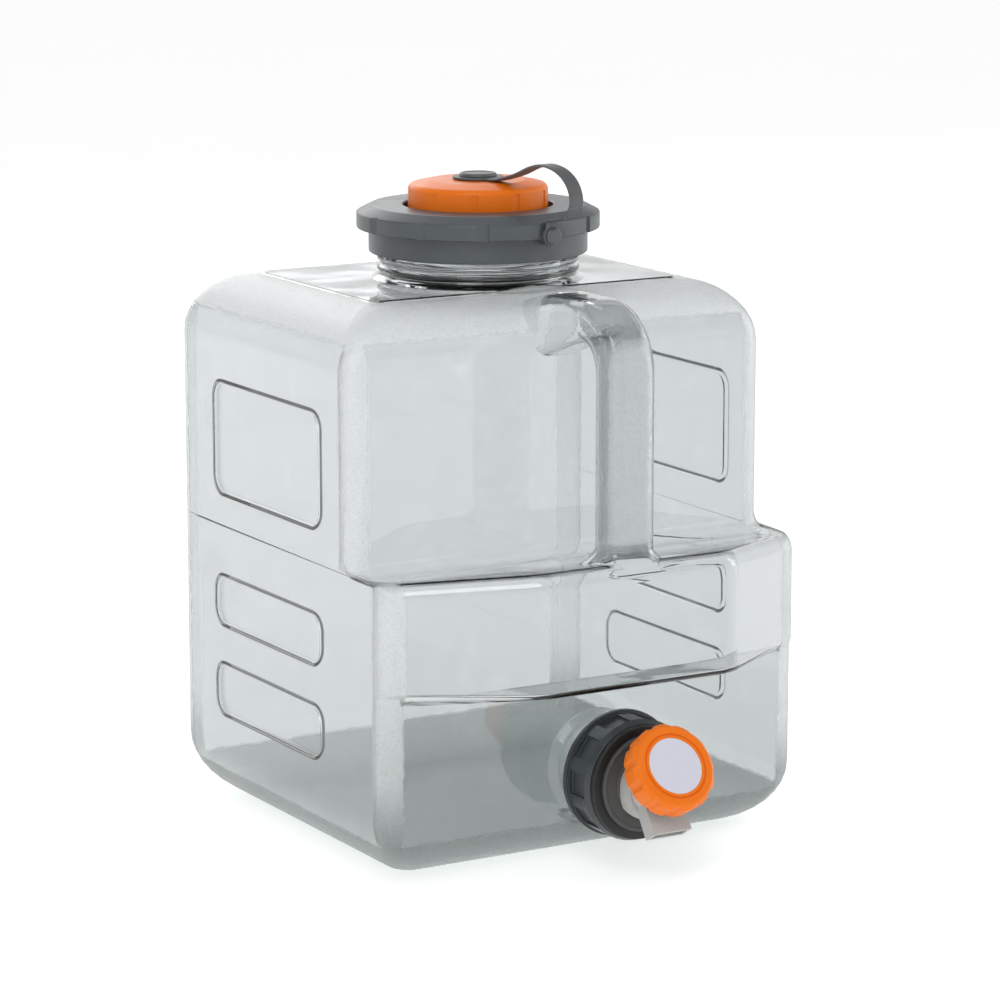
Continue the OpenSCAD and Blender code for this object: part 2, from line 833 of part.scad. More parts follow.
tank();
main_cap();
main_cap_gasket();
fill_cap();
fill_cap_gasket();
tether_button();
tether_strap();
tether_pin();
outlet_cap();
outlet_gasket();
front_washer();
hub_plate();
tap_body();
shank_washer();
shank_nut();
valve_bonnet();
stem_o_ring();
valve_stem();
valve_plug();
tap_knob();
knob_label();
knob_screw();
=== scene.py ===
"""Clear water tank with a screw lid, a tethered fill cap and a twist tap.

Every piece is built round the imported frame: positions come from the frame's
nodes, sizes are in millimetres in the classes below.
"""

from __future__ import annotations

import json
import logging
import math
from dataclasses import dataclass
from enum import Enum
from typing import Any, Callable, Mapping, Sequence, Union

import bmesh
import bpy
from mathutils import Matrix, Vector


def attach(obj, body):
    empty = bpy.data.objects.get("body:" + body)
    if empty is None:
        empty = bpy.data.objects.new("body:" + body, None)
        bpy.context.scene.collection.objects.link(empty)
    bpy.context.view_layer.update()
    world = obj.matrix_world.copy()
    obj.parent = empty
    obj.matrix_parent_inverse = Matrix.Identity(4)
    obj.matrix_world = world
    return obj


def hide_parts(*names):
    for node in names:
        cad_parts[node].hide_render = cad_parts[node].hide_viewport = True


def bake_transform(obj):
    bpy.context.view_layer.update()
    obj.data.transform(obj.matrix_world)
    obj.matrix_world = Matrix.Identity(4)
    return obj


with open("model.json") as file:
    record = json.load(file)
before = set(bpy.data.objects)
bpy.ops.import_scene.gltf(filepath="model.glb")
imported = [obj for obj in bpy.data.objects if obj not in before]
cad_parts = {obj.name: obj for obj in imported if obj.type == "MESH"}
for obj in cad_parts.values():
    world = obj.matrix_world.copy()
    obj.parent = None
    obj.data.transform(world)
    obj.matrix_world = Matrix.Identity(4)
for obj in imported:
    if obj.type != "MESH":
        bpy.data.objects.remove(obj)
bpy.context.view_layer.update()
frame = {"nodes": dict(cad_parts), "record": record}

logging.basicConfig(level=logging.INFO, format="%(message)s")
log = logging.getLogger("water_tank")

MM = 0.001
ARC_STEP = math.radians(18)  # longest step round a turned piece's corner
TANK_CREASE = 42.0  # edges of the tank sharper than this, in degrees, stay sharp
THREAD_STEPS = 64  # steps in one turn of a thread
Piece = bpy.types.Object
Test = Callable[[Vector, Vector], bool]
Outline = Sequence[tuple[float, float, float]]
Owner = Union[bpy.types.Material, bpy.types.World]


def rotation(degrees: float, axis: str) -> Matrix:
    """A rotation by degrees about an axis."""
    return Matrix.Rotation(math.radians(degrees), 4, axis)


def up(height: float) -> Vector:
    """A move upwards, in millimetres."""
    return Vector((0, 0, height * MM))


def point(x: float, y: float, z: float) -> Vector:
    """A place or a size given in millimetres."""
    return Vector((x, y, z)) * MM


def flat_ring(inner: float, outer: float, low: float, high: float, in_edge: float,
              out_edge: float) -> Outline:
    """The outline of a flat ring: two radii, two heights and its corners' radii."""
    return [(inner, low, in_edge), (outer, low, out_edge),
            (outer, high, out_edge), (inner, high, in_edge)]


class Slot(str, Enum):
    """Material slots of the record."""

    TANK = "clear_tank"
    LID = "lid_plastic"
    ORANGE = "orange_plastic"
    SILICONE = "pale_silicone"
    STRAP = "strap_plastic"
    COLLAR = "collar_plastic"
    HUB = "hub_plastic"
    SPOUT = "spout_plastic"
    RUBBER = "black_rubber"
    LABEL = "label_film"
    STEEL = "screw_steel"


class Part(str, Enum):
    """Kinds of mesh element that a test picks."""

    VERT = "VERT"
    EDGE = "EDGE"
    FACE = "FACE"


class Cut(str, Enum):
    """How one solid acts on another."""

    JOIN = "UNION"
    CARVE = "DIFFERENCE"


# ---- shader maths --------------------------------------------------------


class Signal:
    """A number that travels between shader nodes, with ordinary arithmetic."""

    def __init__(self, graph: "Graph", socket: bpy.types.NodeSocket) -> None:
        """Keeps the socket that the number comes out of."""
        self.graph = graph
        self.socket = socket

    def _math(self, operation: str, first: "Amount", second: "Amount" = 0.0) -> "Signal":
        """Adds one Math node with one or two numbers."""
        return self.graph.add("ShaderNodeMath", {"operation": operation}, {0: first, 1: second})

    def __add__(self, other: "Amount") -> "Signal":
        """Sum."""
        return self._math("ADD", self, other)

    def __sub__(self, other: "Amount") -> "Signal":
        """Difference."""
        return self._math("SUBTRACT", self, other)

    def __mul__(self, other: "Amount") -> "Signal":
        """Product."""
        return self._math("MULTIPLY", self, other)

    __radd__ = __add__

    def __abs__(self) -> "Signal":
        """Size without its sign."""
        return self._math("ABSOLUTE", self)

    def or_more(self, other: "Amount") -> "Signal":
        """The larger of the two."""
        return self._math("MAXIMUM", self, other)

    def step(self, low: float, high: float) -> "Signal":
        """Smooth step from 0 at low to 1 at high, which may be below low."""
        return self.graph.add(
            "ShaderNodeMapRange",
            {"interpolation_type": "SMOOTHSTEP"},
            {"Value": self, "From Min": low, "From Max": high},
        )


Amount = Union[Signal, float]


class Graph:
    """Node tree of a material or a world, filled by one method that adds nodes."""

    def __init__(self, owner: Owner, space: str = "Object") -> None:
        """Clears the owner's tree and starts it with the place in a space."""
        owner.use_nodes = True
        self.owner, self.tree = owner, owner.node_tree
        self.tree.nodes.clear()
        self.place = self.add("ShaderNodeTexCoord", output=space)
        split = self.node("ShaderNodeSeparateXYZ", {}, {"Vector": self.place})
        self.x, self.y, self.z = (Signal(self, s) for s in split.outputs)

    @classmethod
    def material(cls, name: str) -> "Graph":
        """The graph of a new material."""
        return cls(bpy.data.materials.new(name))

    def node(
        self, kind: str, settings: Mapping[str, Any], inputs: Mapping[Any, Any]
    ) -> bpy.types.Node:
        """Adds one node of any kind.

        Args:
            kind: The node's type.
            settings: Its own settings, set first. A "stops" setting holds a
                ramp's places and colours.
            inputs: Values or signals by socket name or number.

        Returns:
            The node.
        """
        made = self.tree.nodes.new(kind)
        for key, value in settings.items():
            if key == "stops":
                ramp = made.color_ramp
                while len(ramp.elements) < len(value):
                    ramp.elements.new(1.0)
                for element, (place, colour) in zip(ramp.elements, value):
                    element.position, element.color = place, (*colour, 1.0)
            else:
                setattr(made, key, value)
        for key, value in inputs.items():
            if isinstance(value, Signal):
                self.tree.links.new(value.socket, made.inputs[key])
            else:
                made.inputs[key].default_value = value
        return made

    def add(
        self,
        kind: str,
        settings: Mapping[str, Any] | None = None,
        inputs: Mapping[Any, Any] | None = None,
        output: Any = 0,
    ) -> Signal:
        """Adds one node as node does, and gives the output of that name or number."""
        return Signal(self, self.node(kind, settings or {}, inputs or {}).outputs[output])

    def noise(self, size_mm: float, detail: float = 2.0) -> Signal:
        """Soft noise from 0 to 1, with spots of that size and finer detail."""
        inputs = {"Vector": self.place, "Scale": 1.0 / (size_mm * MM), "Detail": detail}
        return self.add("ShaderNodeTexNoise", {}, inputs, output="Fac")

    def pebbles(self, size_mm: float) -> Signal:
        """0 in the middle of each of many small cells, rising to its rim."""
        inputs = {"Vector": self.place, "Scale": 1.0 / (size_mm * MM)}
        return self.add("ShaderNodeTexVoronoi", {}, inputs, output="Distance")

    def blend(self, share: Amount, low: Sequence[float], high: Sequence[float]) -> Signal:
        """Mixes two colours, with that share of the second one."""
        inputs = {"Factor": share, 6: (*low, 1.0), 7: (*high, 1.0)}
        return self.add("ShaderNodeMix", {"data_type": "RGBA"}, inputs, output=2)

    def bump(self, height: Signal, depth_mm: float, strength: float = 1.0) -> Signal:
        """The normal of a relief whose height of 1 stands depth_mm high."""
        inputs = {"Height": height, "Distance": depth_mm * MM, "Strength": strength}
        return self.add("ShaderNodeBump", {}, inputs, output="Normal")

    def surface(self, values: Mapping[str, Any]) -> bpy.types.Material:
        """Closes the tree with a Principled shader of those values."""
        return self.show(self.add("ShaderNodeBsdfPrincipled", {}, values))

    def show(self, shader: Signal, output: str = "ShaderNodeOutputMaterial") -> Owner:
        """Sends a shader to the output node, and gives the owner."""
        self.node(output, {}, {"Surface": shader})
        return self.owner


# ---- finishes ------------------------------------------------------------


@dataclass(frozen=True)
class Moulded:
    """Injection-moulded plastic: fine grain, faint mottling and rubbed spots."""

    slot: Slot
    colour: tuple[float, float, float]
    worn: tuple[float, float, float]
    roughness: float = 0.38
    grain_mm: float = 0.35
    grain_depth_mm: float = 0.02
    shine: float = 0.5

    def material(self) -> bpy.types.Material:
        """Builds the finish's material."""
        graph = Graph.material(self.slot.value)
        mottle = graph.noise(18.0, 3.0).step(0.35, 0.7)
        rubbed = graph.noise(3.2, 4.0).step(0.56, 0.72) * graph.noise(40.0).step(0.45, 0.65)
        colour = graph.blend(mottle * 0.35 + rubbed * 0.5, self.colour, self.worn)
        grain = graph.noise(self.grain_mm, 1.0)
        ripple = graph.noise(9.0, 1.0)
        rough = self.roughness + rubbed * 0.10 + mottle * 0.05
        return graph.surface({
            "Base Color": colour,
            "Roughness": rough,
            "Specular IOR Level": self.shine,
            "Normal": graph.bump(grain + ripple * 1.5, self.grain_depth_mm, 0.6),
        })


@dataclass(frozen=True)
class Rubber:
    """Rubber or silicone: dull, with dust and faint flow lines."""

    slot: Slot
    colour: tuple[float, float, float]
    dust: tuple[float, float, float]
    roughness: float = 0.55

    def material(self) -> bpy.types.Material:
        """Builds the finish's material."""
        graph = Graph.material(self.slot.value)
        dust = graph.noise(6.0, 4.0).step(0.45, 0.75)
        flow = graph.noise(1.2, 2.0)
        return graph.surface({
            "Base Color": graph.blend(dust * 0.6, self.colour, self.dust),
            "Roughness": self.roughness + dust * 0.15,
            "Normal": graph.bump(flow, 0.03, 0.5),
        })


@dataclass(frozen=True)
class Film:
    """Plain pale label under a thin varnish."""

    slot: Slot
    colour: tuple[float, float, float]
    shade: tuple[float, float, float]

    def material(self) -> bpy.types.Material:
        """Builds the finish's material."""
        graph = Graph.material(self.slot.value)
        paper = graph.noise(0.8, 3.0)
        return graph.surface({
            "Base Color": graph.blend(paper * 0.5, self.colour, self.shade),
            "Roughness": 0.28 + paper * 0.08,
            "Coat Weight": 0.3,
            "Normal": graph.bump(graph.noise(4.0), 0.02, 0.4),
        })


@dataclass(frozen=True)
class Steel:
    """Machined screw steel with turning marks."""

    slot: Slot
    colour: tuple[float, float, float]
    dark: tuple[float, float, float]

    def material(self) -> bpy.types.Material:
        """Builds the finish's material."""
        graph = Graph.material(self.slot.value)
        marks = graph.noise(0.3, 3.0)
        return graph.surface({
            "Base Color": graph.blend(marks * 0.5, self.colour, self.dark),
            "Metallic": 1.0,
            "Roughness": 0.28 + marks * 0.12,
            "Normal": graph.bump(marks, 0.01, 0.5),
        })


@dataclass(frozen=True)
class ClearTank:
    """Smoke-tinted clear plastic, frosted with fine pebbles along its edges.

    The sizes place the frosting: half width and half depth of the upper tank,
    how far the lower front stands out, and the widths of the frosted bands.
    """

    slot: Slot = Slot.TANK
    tint: tuple[float, float, float] = (0.69, 0.71, 0.712)
    frost_tint: tuple[float, float, float] = (0.92, 0.935, 0.935)
    # painted shade: the frosted plastic darkens to this grey towards the bottom of the tank
    painted_foot_shade: tuple[float, float, float] = (0.40, 0.42, 0.42)
    side: float = 113.0
    front: float = -88.0
    back: float = 88.0
    low_front: float = -119.5
    shelf: float = 143.0
    top: float = 263.0
    corner: float = 9.5
    rim: float = 28.0
    foot: float = 20.0
    grip_front: float = -147.5

    def frosting(self, graph: Graph) -> Signal:
        """Where the surface is frosted.

        Args:
            graph: The material's graph.

        Returns:
            1 on the frosted bands, easing to 0 on the clear panels.
        """
        soft = 1.6 * MM
        wander = (graph.noise(7.0) - 0.5) * (2.0 * MM)
        x, y, z = abs(graph.x) + wander, graph.y + wander, graph.z + wander
        low = graph.z.step((self.shelf + 1) * MM, (self.shelf - 1) * MM)
        front = low * ((self.low_front - self.front) * MM) + self.front * MM
        side_in = x.step((self.side - self.corner) * MM - soft, (self.side - self.corner) * MM)
        at_front = (front + self.corner * MM - y).step(-soft, 0.0)
        at_back = (y - (self.back - self.corner) * MM).step(-soft, 0.0)
        corners = side_in * at_front.or_more(at_back)
        edge_x = x - (self.side - self.rim) * MM
        edge_y = abs(graph.y) + wander - (self.back - self.rim) * MM
        rim_top = edge_x.or_more(edge_y).step(-soft, 0.0)
        top = rim_top * z.step((self.top - self.rim * 0.62) * MM, (self.top - self.rim * 0.5) * MM)
        behind = graph.y.step(self.front * MM - 4 * MM, self.front * MM + 2 * MM)
        foot = z.step(self.foot * MM, self.foot * MM - soft)
        grip = y.step(self.grip_front * MM, self.grip_front * MM - soft)
        grip = grip * graph.z.step((self.shelf + 12) * MM, (self.shelf + 16) * MM)
        return corners.or_more(top * behind).or_more(foot).or_more(grip)

    def material(self) -> bpy.types.Material:
        """Builds the finish's material."""
        graph = Graph.material(self.slot.value)
        frost = self.frosting(graph)
        pebble = graph.pebbles(1.1) + graph.noise(0.5, 1.0) * 0.4
        ripple = graph.noise(45.0, 1.0)
        smudge = graph.noise(14.0, 4.0).step(0.5, 0.8)
        relief = graph.bump(pebble * frost, 0.16)
        wave = graph.node(
            "ShaderNodeBump", {},
            {"Height": ripple, "Distance": 0.8 * MM, "Strength": 0.5, "Normal": relief},
        )
        normal = Signal(graph, wave.outputs["Normal"])
        clear = graph.add("ShaderNodeBsdfPrincipled", {}, {
            "Base Color": graph.blend(smudge * 0.15, self.tint, self.frost_tint),
            "Roughness": 0.02 + smudge * 0.03,
            "IOR": 1.45,
            "Transmission Weight": 1.0,
            "Normal": normal,
        })
        frosted = graph.add("ShaderNodeBsdfPrincipled", {}, {
            # Painted shade: the frosting's colour darkens towards the bottom, from 55 mm down to
            # 14 mm; the pebbles add grain.
            "Base Color": graph.blend(
                graph.z.step(55 * MM, 14 * MM) * 0.75 + pebble * 0.3,
                self.frost_tint, self.painted_foot_shade),
            "Roughness": 0.34 + pebble * 0.12,
            "IOR": 1.45,
            "Transmission Weight": 0.82,
            "Normal": normal,
        })
        glass = graph.add("ShaderNodeMixShader", {}, {0: frost, 1: clear, 2: frosted})
        lamps = graph.add("ShaderNodeBsdfTransparent", {}, {"Color": (0.86, 0.89, 0.88, 1.0)})
        shadow = graph.add("ShaderNodeLightPath", output="Is Shadow Ray")
        return graph.show(graph.add("ShaderNodeMixShader", {}, {0: shadow, 1: glass, 2: lamps}))


FINISHES = {
    Slot.TANK: ClearTank(),
    Slot.LID: Moulded(Slot.LID, (0.062, 0.073, 0.078), (0.090, 0.102, 0.107), 0.36),
    Slot.ORANGE: Moulded(Slot.ORANGE, (0.80, 0.165, 0.004), (0.84, 0.19, 0.008), 0.34,
                         shine=0.22),
    Slot.SILICONE: Rubber(Slot.SILICONE, (0.78, 0.78, 0.75), (0.70, 0.69, 0.66), 0.5),
    Slot.STRAP: Moulded(Slot.STRAP, (0.080, 0.084, 0.088), (0.115, 0.12, 0.125), 0.42),
    Slot.COLLAR: Moulded(Slot.COLLAR, (0.026, 0.032, 0.034), (0.048, 0.055, 0.057), 0.30),
    Slot.HUB: Moulded(Slot.HUB, (0.055, 0.055, 0.053), (0.075, 0.075, 0.073), 0.5),
    Slot.SPOUT: Moulded(Slot.SPOUT, (0.42, 0.42, 0.41), (0.48, 0.48, 0.47), 0.42),
    # near-black; on the front washer it also stands in for the shade in the gap between collar and
    # hub
    Slot.RUBBER: Rubber(Slot.RUBBER, (0.006, 0.0065, 0.0065), (0.016, 0.016, 0.016), 0.5),
    Slot.LABEL: Film(Slot.LABEL, (0.62, 0.62, 0.70), (0.56, 0.56, 0.65)),
    Slot.STEEL: Steel(Slot.STEEL, (0.55, 0.56, 0.58), (0.38, 0.38, 0.40)),
}


class Paint:
    """Gives pieces their materials, each finish made once."""

    made: dict[Slot, bpy.types.Material] = {}

    @classmethod
    def on(cls, piece: Piece, slot: Slot) -> None:
        """Puts a finish on a piece.

        Args:
            piece: The piece.
            slot: Its slot in the record.
        """
        if slot not in cls.made:
            cls.made[slot] = FINISHES[slot].material()
        piece.data.materials.clear()
        piece.data.materials.append(cls.made[slot])
        for polygon in piece.data.polygons:
            polygon.material_index = 0


# ---- bench tools ---------------------------------------------------------


class Editing:
    """Edit mode on one piece, as a context: it ends when the block does."""

    def __init__(self, piece: Piece, part: Part = Part.EDGE) -> None:
        """Takes the piece and the kind of element to select."""
        self.piece = piece
        self.part = part

    def __enter__(self) -> "Editing":
        """Opens edit mode with everything selected."""
        Bench.hold(self.piece)
        bpy.ops.object.mode_set(mode="EDIT")
        bpy.ops.mesh.select_mode(type=self.part.value)
        bpy.ops.mesh.select_all(action="SELECT")
        return self

    def __exit__(self, *_: object) -> None:
        """Closes edit mode."""
        bpy.ops.object.mode_set(mode="OBJECT")

    def pick(self, test: Test) -> None:
        """Selects elements by place and direction.

        Args:
            test: Takes an element's middle and its normal, or an edge's
                direction, and says whether it is picked.
        """
        mesh = bmesh.from_edit_mesh(self.piece.data)
        items = {Part.VERT: mesh.verts, Part.EDGE: mesh.edges, Part.FACE: mesh.faces}[self.part]
        wanted = []
        for item in items:
            if self.part is Part.VERT:
                centre, way = item.co, item.normal
            elif self.part is Part.EDGE:
                centre = (item.verts[0].co + item.verts[1].co) / 2
                way = (item.verts[1].co - item.verts[0].co).normalized()
            else:
                centre, way = item.calc_center_median(), item.normal
            if test(centre, way):
                wanted.append(item)
        bpy.ops.mesh.select_all(action="DESELECT")
        for item in wanted:
            item.select_set(True)
        mesh.select_flush_mode()
        bmesh.update_edit_mesh(self.piece.data)

    def draw_out(self, move: Vector, scale: Sequence[float] = (1, 1, 1),
                 about: Vector | None = None) -> None:
        """Extrudes the selected ring and sizes the new one.

        Args:
            move: How far the new ring lies from the old one.
            scale: Factors for the new ring.
            about: The point that it is sized about.
        """
        bpy.ops.mesh.extrude_edges_move(TRANSFORM_OT_translate={"value": tuple(move)})
        if tuple(scale) != (1, 1, 1):
            bpy.ops.transform.resize(value=tuple(scale), center_override=tuple(about or Vector()))

    def shift(self, share: Callable[[Vector], float], move: Vector) -> None:
        """Moves the points of the selected ring by different amounts.

        Args:
            share: The share of the move that a point makes.
            move: The whole move.
        """
        mesh = bmesh.from_edit_mesh(self.piece.data)
        for point in {v for e in mesh.edges if e.select for v in e.verts}:
            point.co += move * share(point.co)
        bmesh.update_edit_mesh(self.piece.data)

    def lay_ring(self, section: Sequence[Vector], place: Matrix) -> None:
        """Lays the selected ring as a section at a place.

        Args:
            section: The section's points, in the order that they were made.
            place: Where the section lies.
        """
        mesh = bmesh.from_edit_mesh(self.piece.data)
        mesh.verts.ensure_lookup_table()
        ring = [v for v in mesh.verts if v.select]
        for point, at in zip(ring, section):
            point.co = place @ at
        bmesh.update_edit_mesh(self.piece.data)


class Bench:
    """Hand tools that build and finish pieces."""

    @staticmethod
    def hold(piece: Piece) -> None:
        """Selects one piece and makes it the active one."""
        bpy.ops.object.select_all(action="DESELECT")
        piece.select_set(True)
        bpy.context.view_layer.objects.active = piece

    @staticmethod
    def named(name: str) -> Piece:
        """Names the piece that was just added, and gives it."""
        piece = bpy.context.active_object
        piece.name = piece.data.name = name
        return piece

    @staticmethod
    def plate(name: str, wide: float, deep: float, at: Sequence[float] = (0, 0, 0),
              turn: Sequence[float] = (0, 0, 0)) -> Piece:
        """Adds one rectangular face.

        Args:
            name: The piece's name.
            wide: Its width in metres, before it is turned.
            deep: Its depth in metres.
            at: Its middle.
            turn: How it is turned about X, Y and Z.

        Returns:
            The plate.
        """
        bpy.ops.object.select_all(action="DESELECT")
        bpy.ops.mesh.primitive_plane_add(size=1, location=at, rotation=turn)
        piece = Bench.named(name)
        piece.scale = (wide, deep, 1)
        bpy.ops.object.transform_apply(location=True, rotation=True, scale=True)
        return piece

    @staticmethod
    def block(name: str, size: Vector, centre: Vector, edge: float = 0.0) -> Piece:
        """Adds a block with rounded edges.

        Args:
            name: The piece's name.
            size: Its size in metres.
            centre: Its middle.
            edge: Radius of its edges.

        Returns:
            The block.
        """
        bpy.ops.object.select_all(action="DESELECT")
        bpy.ops.mesh.primitive_cube_add(size=1, location=centre, scale=size)
        piece = Bench.named(name)
        bpy.ops.object.transform_apply(location=True, rotation=True, scale=True)
        if edge:
            with Editing(piece):
                bpy.ops.mesh.bevel(offset=edge, segments=4, affect="EDGES")
        return piece

    @staticmethod
    def turned(name: str, outline: Outline, sides: int = 128, closed: bool = True) -> Piece:
        """Turns an outline about +Z, as on a lathe, ring by ring.

        Args:
            name: The piece's name.
            outline: Radius, height and corner radius of each corner in mm.
            sides: Sides of each ring.
            closed: Whether the outline closes on itself, as on a ring-shaped
                piece. Otherwise both ends are filled.

        Returns:
            The turned piece, at the origin.
        """
        points = Bench.rounded(outline, closed)
        first_r, first_z = points[0]
        bpy.ops.object.select_all(action="DESELECT")
        bpy.ops.mesh.primitive_circle_add(
            vertices=sides, radius=first_r * MM, location=(0, 0, first_z * MM))
        piece = Bench.named(name)
        bpy.ops.object.transform_apply(location=True, rotation=True, scale=True)
        with Editing(piece) as edit:
            for (r0, z0), (r1, z1) in zip(points, points[1:]):
                size = r1 / r0
                edit.draw_out(up(z1 - z0), (size, size, 1), up(z1))
            if closed:
                edit.pick(Bench.open_rim(piece))
                bpy.ops.mesh.bridge_edge_loops()
            else:
                bpy.ops.mesh.select_all(action="SELECT")
                bpy.ops.mesh.fill_holes(sides=0)
            Bench.tidy_faces()
        return piece

    @staticmethod
    def open_rim(piece: Piece) -> Test:
        """A test that picks the open edges of a piece in edit mode."""
        mesh = bmesh.from_edit_mesh(piece.data)
        middles = {tuple((e.verts[0].co + e.verts[1].co) / 2) for e in mesh.edges if e.is_boundary}
        return lambda centre, _: tuple(centre) in middles

    @staticmethod
    def tidy_faces() -> None:
        """Merges doubles and turns every face outwards, in edit mode."""
        bpy.ops.mesh.select_all(action="SELECT")
        bpy.ops.mesh.remove_doubles(threshold=0.001 * MM)
        bpy.ops.mesh.normals_make_consistent(inside=False)

    @staticmethod
    def rounded(outline: Outline, closed: bool) -> list[tuple[float, float]]:
        """Rounds an outline's corners.

        Args:
            outline: Two coordinates and a corner radius for each corner.
            closed: Whether the outline closes on itself.

        Returns:
            The points of the rounded outline.
        """
        points: list[tuple[float, float]] = []
        count = len(outline)
        for i, (r, z, radius) in enumerate(outline):
            here = Vector((r, z))
            if radius <= 0 or (not closed and i in (0, count - 1)):
                points.append((r, z))
                continue
            back = (Vector(outline[i - 1][:2]) - here).normalized()
            ahead = (Vector(outline[(i + 1) % count][:2]) - here).normalized()
            half = back.angle(ahead) / 2
            reach = radius / math.tan(half)
            centre = here + (back + ahead).normalized() * (radius / math.sin(half))
            start, end = here + back * reach - centre, here + ahead * reach - centre
            turn = start.angle_signed(end)
            steps = max(2, math.ceil(abs(turn) / ARC_STEP))
            for k in range(steps + 1):
                points.append(tuple(centre + Matrix.Rotation(-turn * k / steps, 2) @ start))
        return points

    @staticmethod
    def thread(name: str, radius: float, height: float, lead: float, turns: float,
               low: float) -> Piece:
        """Makes the ridge of a right-handed screw thread about +Z.

        Args:
            name: The piece's name.
            radius: Radius of the wall that it stands on, in mm.
            height: How far it stands out, or in where it is below 0.
            lead: Rise in one turn.
            turns: Number of turns.
            low: Height of its start.

        Returns:
            The ridge, at the origin.
        """
        root_share, crest_share, sunk = 0.42, 0.55, 0.4
        width = lead * root_share
        root, crest = radius - math.copysign(sunk, height), radius + height
        piece = Bench.plate(name, 1, 1, turn=(math.pi / 2, 0, 0))
        with Editing(piece, Part.VERT) as edit:
            bpy.ops.transform.resize(value=(abs(crest - root) * MM, 1, width * MM))
            bpy.ops.transform.translate(value=((root + crest) / 2 * MM, 0, low * MM))
            outer = crest > root
            edit.pick(lambda co, _: (co.x > (root + crest) / 2 * MM) == outer)
            bpy.ops.transform.resize(value=(1, 1, crest_share),
                                     center_override=(0, 0, low * MM))
        screw = piece.modifiers.new("screw", "SCREW")
        screw.angle, screw.screw_offset = math.tau * turns, lead * turns * MM
        screw.steps = screw.render_steps = int(THREAD_STEPS * turns)
        Bench.apply(piece)
        with Editing(piece):
            bpy.ops.mesh.fill_holes(sides=4)
            Bench.tidy_faces()
        return piece

    @staticmethod
    def apply(piece: Piece) -> None:
        """Applies every modifier on a piece."""
        Bench.hold(piece)
        for name in [m.name for m in piece.modifiers]:
            bpy.ops.object.modifier_apply(modifier=name)

    @staticmethod
    def combine(piece: Piece, other: Piece, cut: Cut) -> None:
        """Joins or carves one solid with another, which is used up.

        Args:
            piece: The solid that stays.
            other: The solid that acts on it.
            cut: How it acts.
        """
        tool = piece.modifiers.new("combine", "BOOLEAN")
        tool.operation, tool.object, tool.solver = cut.value, other, "EXACT"
        Bench.apply(piece)
        bpy.data.objects.remove(other)

    @staticmethod
    def join(piece: Piece, *others: Piece) -> None:
        """Makes several meshes one piece, with no change to their shapes."""
        Bench.hold(piece)
        for other in others:
            other.select_set(True)
        bpy.ops.object.join()

    @staticmethod
    def copies_round(piece: Piece, count: int) -> Piece:
        """Repeats a piece evenly about +Z and joins the copies to it."""
        made = []
        for i in range(1, count):
            copy = piece.copy()
            copy.data = piece.data.copy()
            copy.data.transform(Matrix.Rotation(math.tau * i / count, 4, "Z"))
            bpy.context.collection.objects.link(copy)
            made.append(copy)
        Bench.join(piece, *made)
        return piece

    @staticmethod
    def soften(piece: Piece, edge_mm: float, angle: float = 38.0, segments: int = 2) -> None:
        """Rounds a piece's sharp edges and shades it smooth.

        Args:
            piece: The piece.
            edge_mm: Width of the rounding in mm.
            angle: Edges sharper than this, in degrees, are rounded.
            segments: Steps across the rounding.
        """
        if edge_mm:
            bevel = piece.modifiers.new("edges", "BEVEL")
            bevel.width, bevel.segments = edge_mm * MM, segments
            bevel.limit_method, bevel.angle_limit = "ANGLE", math.radians(angle)
            Bench.apply(piece)
        Bench.smooth(piece, angle)
        Bench.weigh(piece)
        Bench.apply(piece)

    @staticmethod
    def smooth(piece: Piece, angle: float) -> None:
        """Shades a piece smooth but for edges sharper than an angle in degrees."""
        Bench.hold(piece)
        bpy.ops.object.shade_smooth_by_angle(angle=math.radians(angle))

    @staticmethod
    def weigh(piece: Piece) -> None:
        """Adds normals that follow a piece's largest faces."""
        weigh = piece.modifiers.new("weigh", "WEIGHTED_NORMAL")
        weigh.keep_sharp, weigh.weight = True, 60

    @staticmethod
    def lathed(name: str, outline: Outline, place: Matrix, sides: int,
               closed: bool = True) -> Piece:
        """Turns a piece as turned does, puts it in its place and shades it smooth."""
        piece = Bench.turned(name, outline, sides, closed)
        Bench.put(piece, place)
        Bench.soften(piece, 0.0)
        return piece

    @staticmethod
    def put(piece: Piece, place: Matrix) -> None:
        """Moves a piece's mesh to its place, leaving its object at the origin."""
        Bench.hold(piece)
        piece.matrix_world = place
        bpy.ops.object.transform_apply(location=True, rotation=True, scale=True)

    @staticmethod
    def from_node(name: str, node: str, edge_mm: float) -> Piece:
        """Copies a node's solid, cleans its facets and rounds its edges.

        Args:
            name: The new piece's name.
            node: The node that it stands for.
            edge_mm: Width of the edges' rounding in mm.

        Returns:
            The finished piece.
        """
        mesh = frame["nodes"][node].data.copy()
        piece = bpy.data.objects.new(name, mesh)
        bpy.context.collection.objects.link(piece)
        mesh.name = name
        with Editing(piece):
            bpy.ops.mesh.remove_doubles(threshold=0.002 * MM)
            bpy.ops.mesh.dissolve_limited(angle_limit=math.radians(0.6))
            bpy.ops.mesh.customdata_custom_splitnormals_clear()
        Bench.soften(piece, edge_mm, 32.0)
        return piece

    @staticmethod
    def fit(piece: Piece, body: str, slot: Slot, node: str) -> None:
        """Dresses a finished piece and sets it on its body.

        Args:
            piece: The piece.
            body: The body that it rides on.
            slot: Its finish.
            node: The node that it stands for.
        """
        Paint.on(piece, slot)
        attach(piece, body)
        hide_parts(node)
        log.info("%s: %d faces", piece.name, len(piece.data.polygons))


# ---- tank ----------------------------------------------------------------


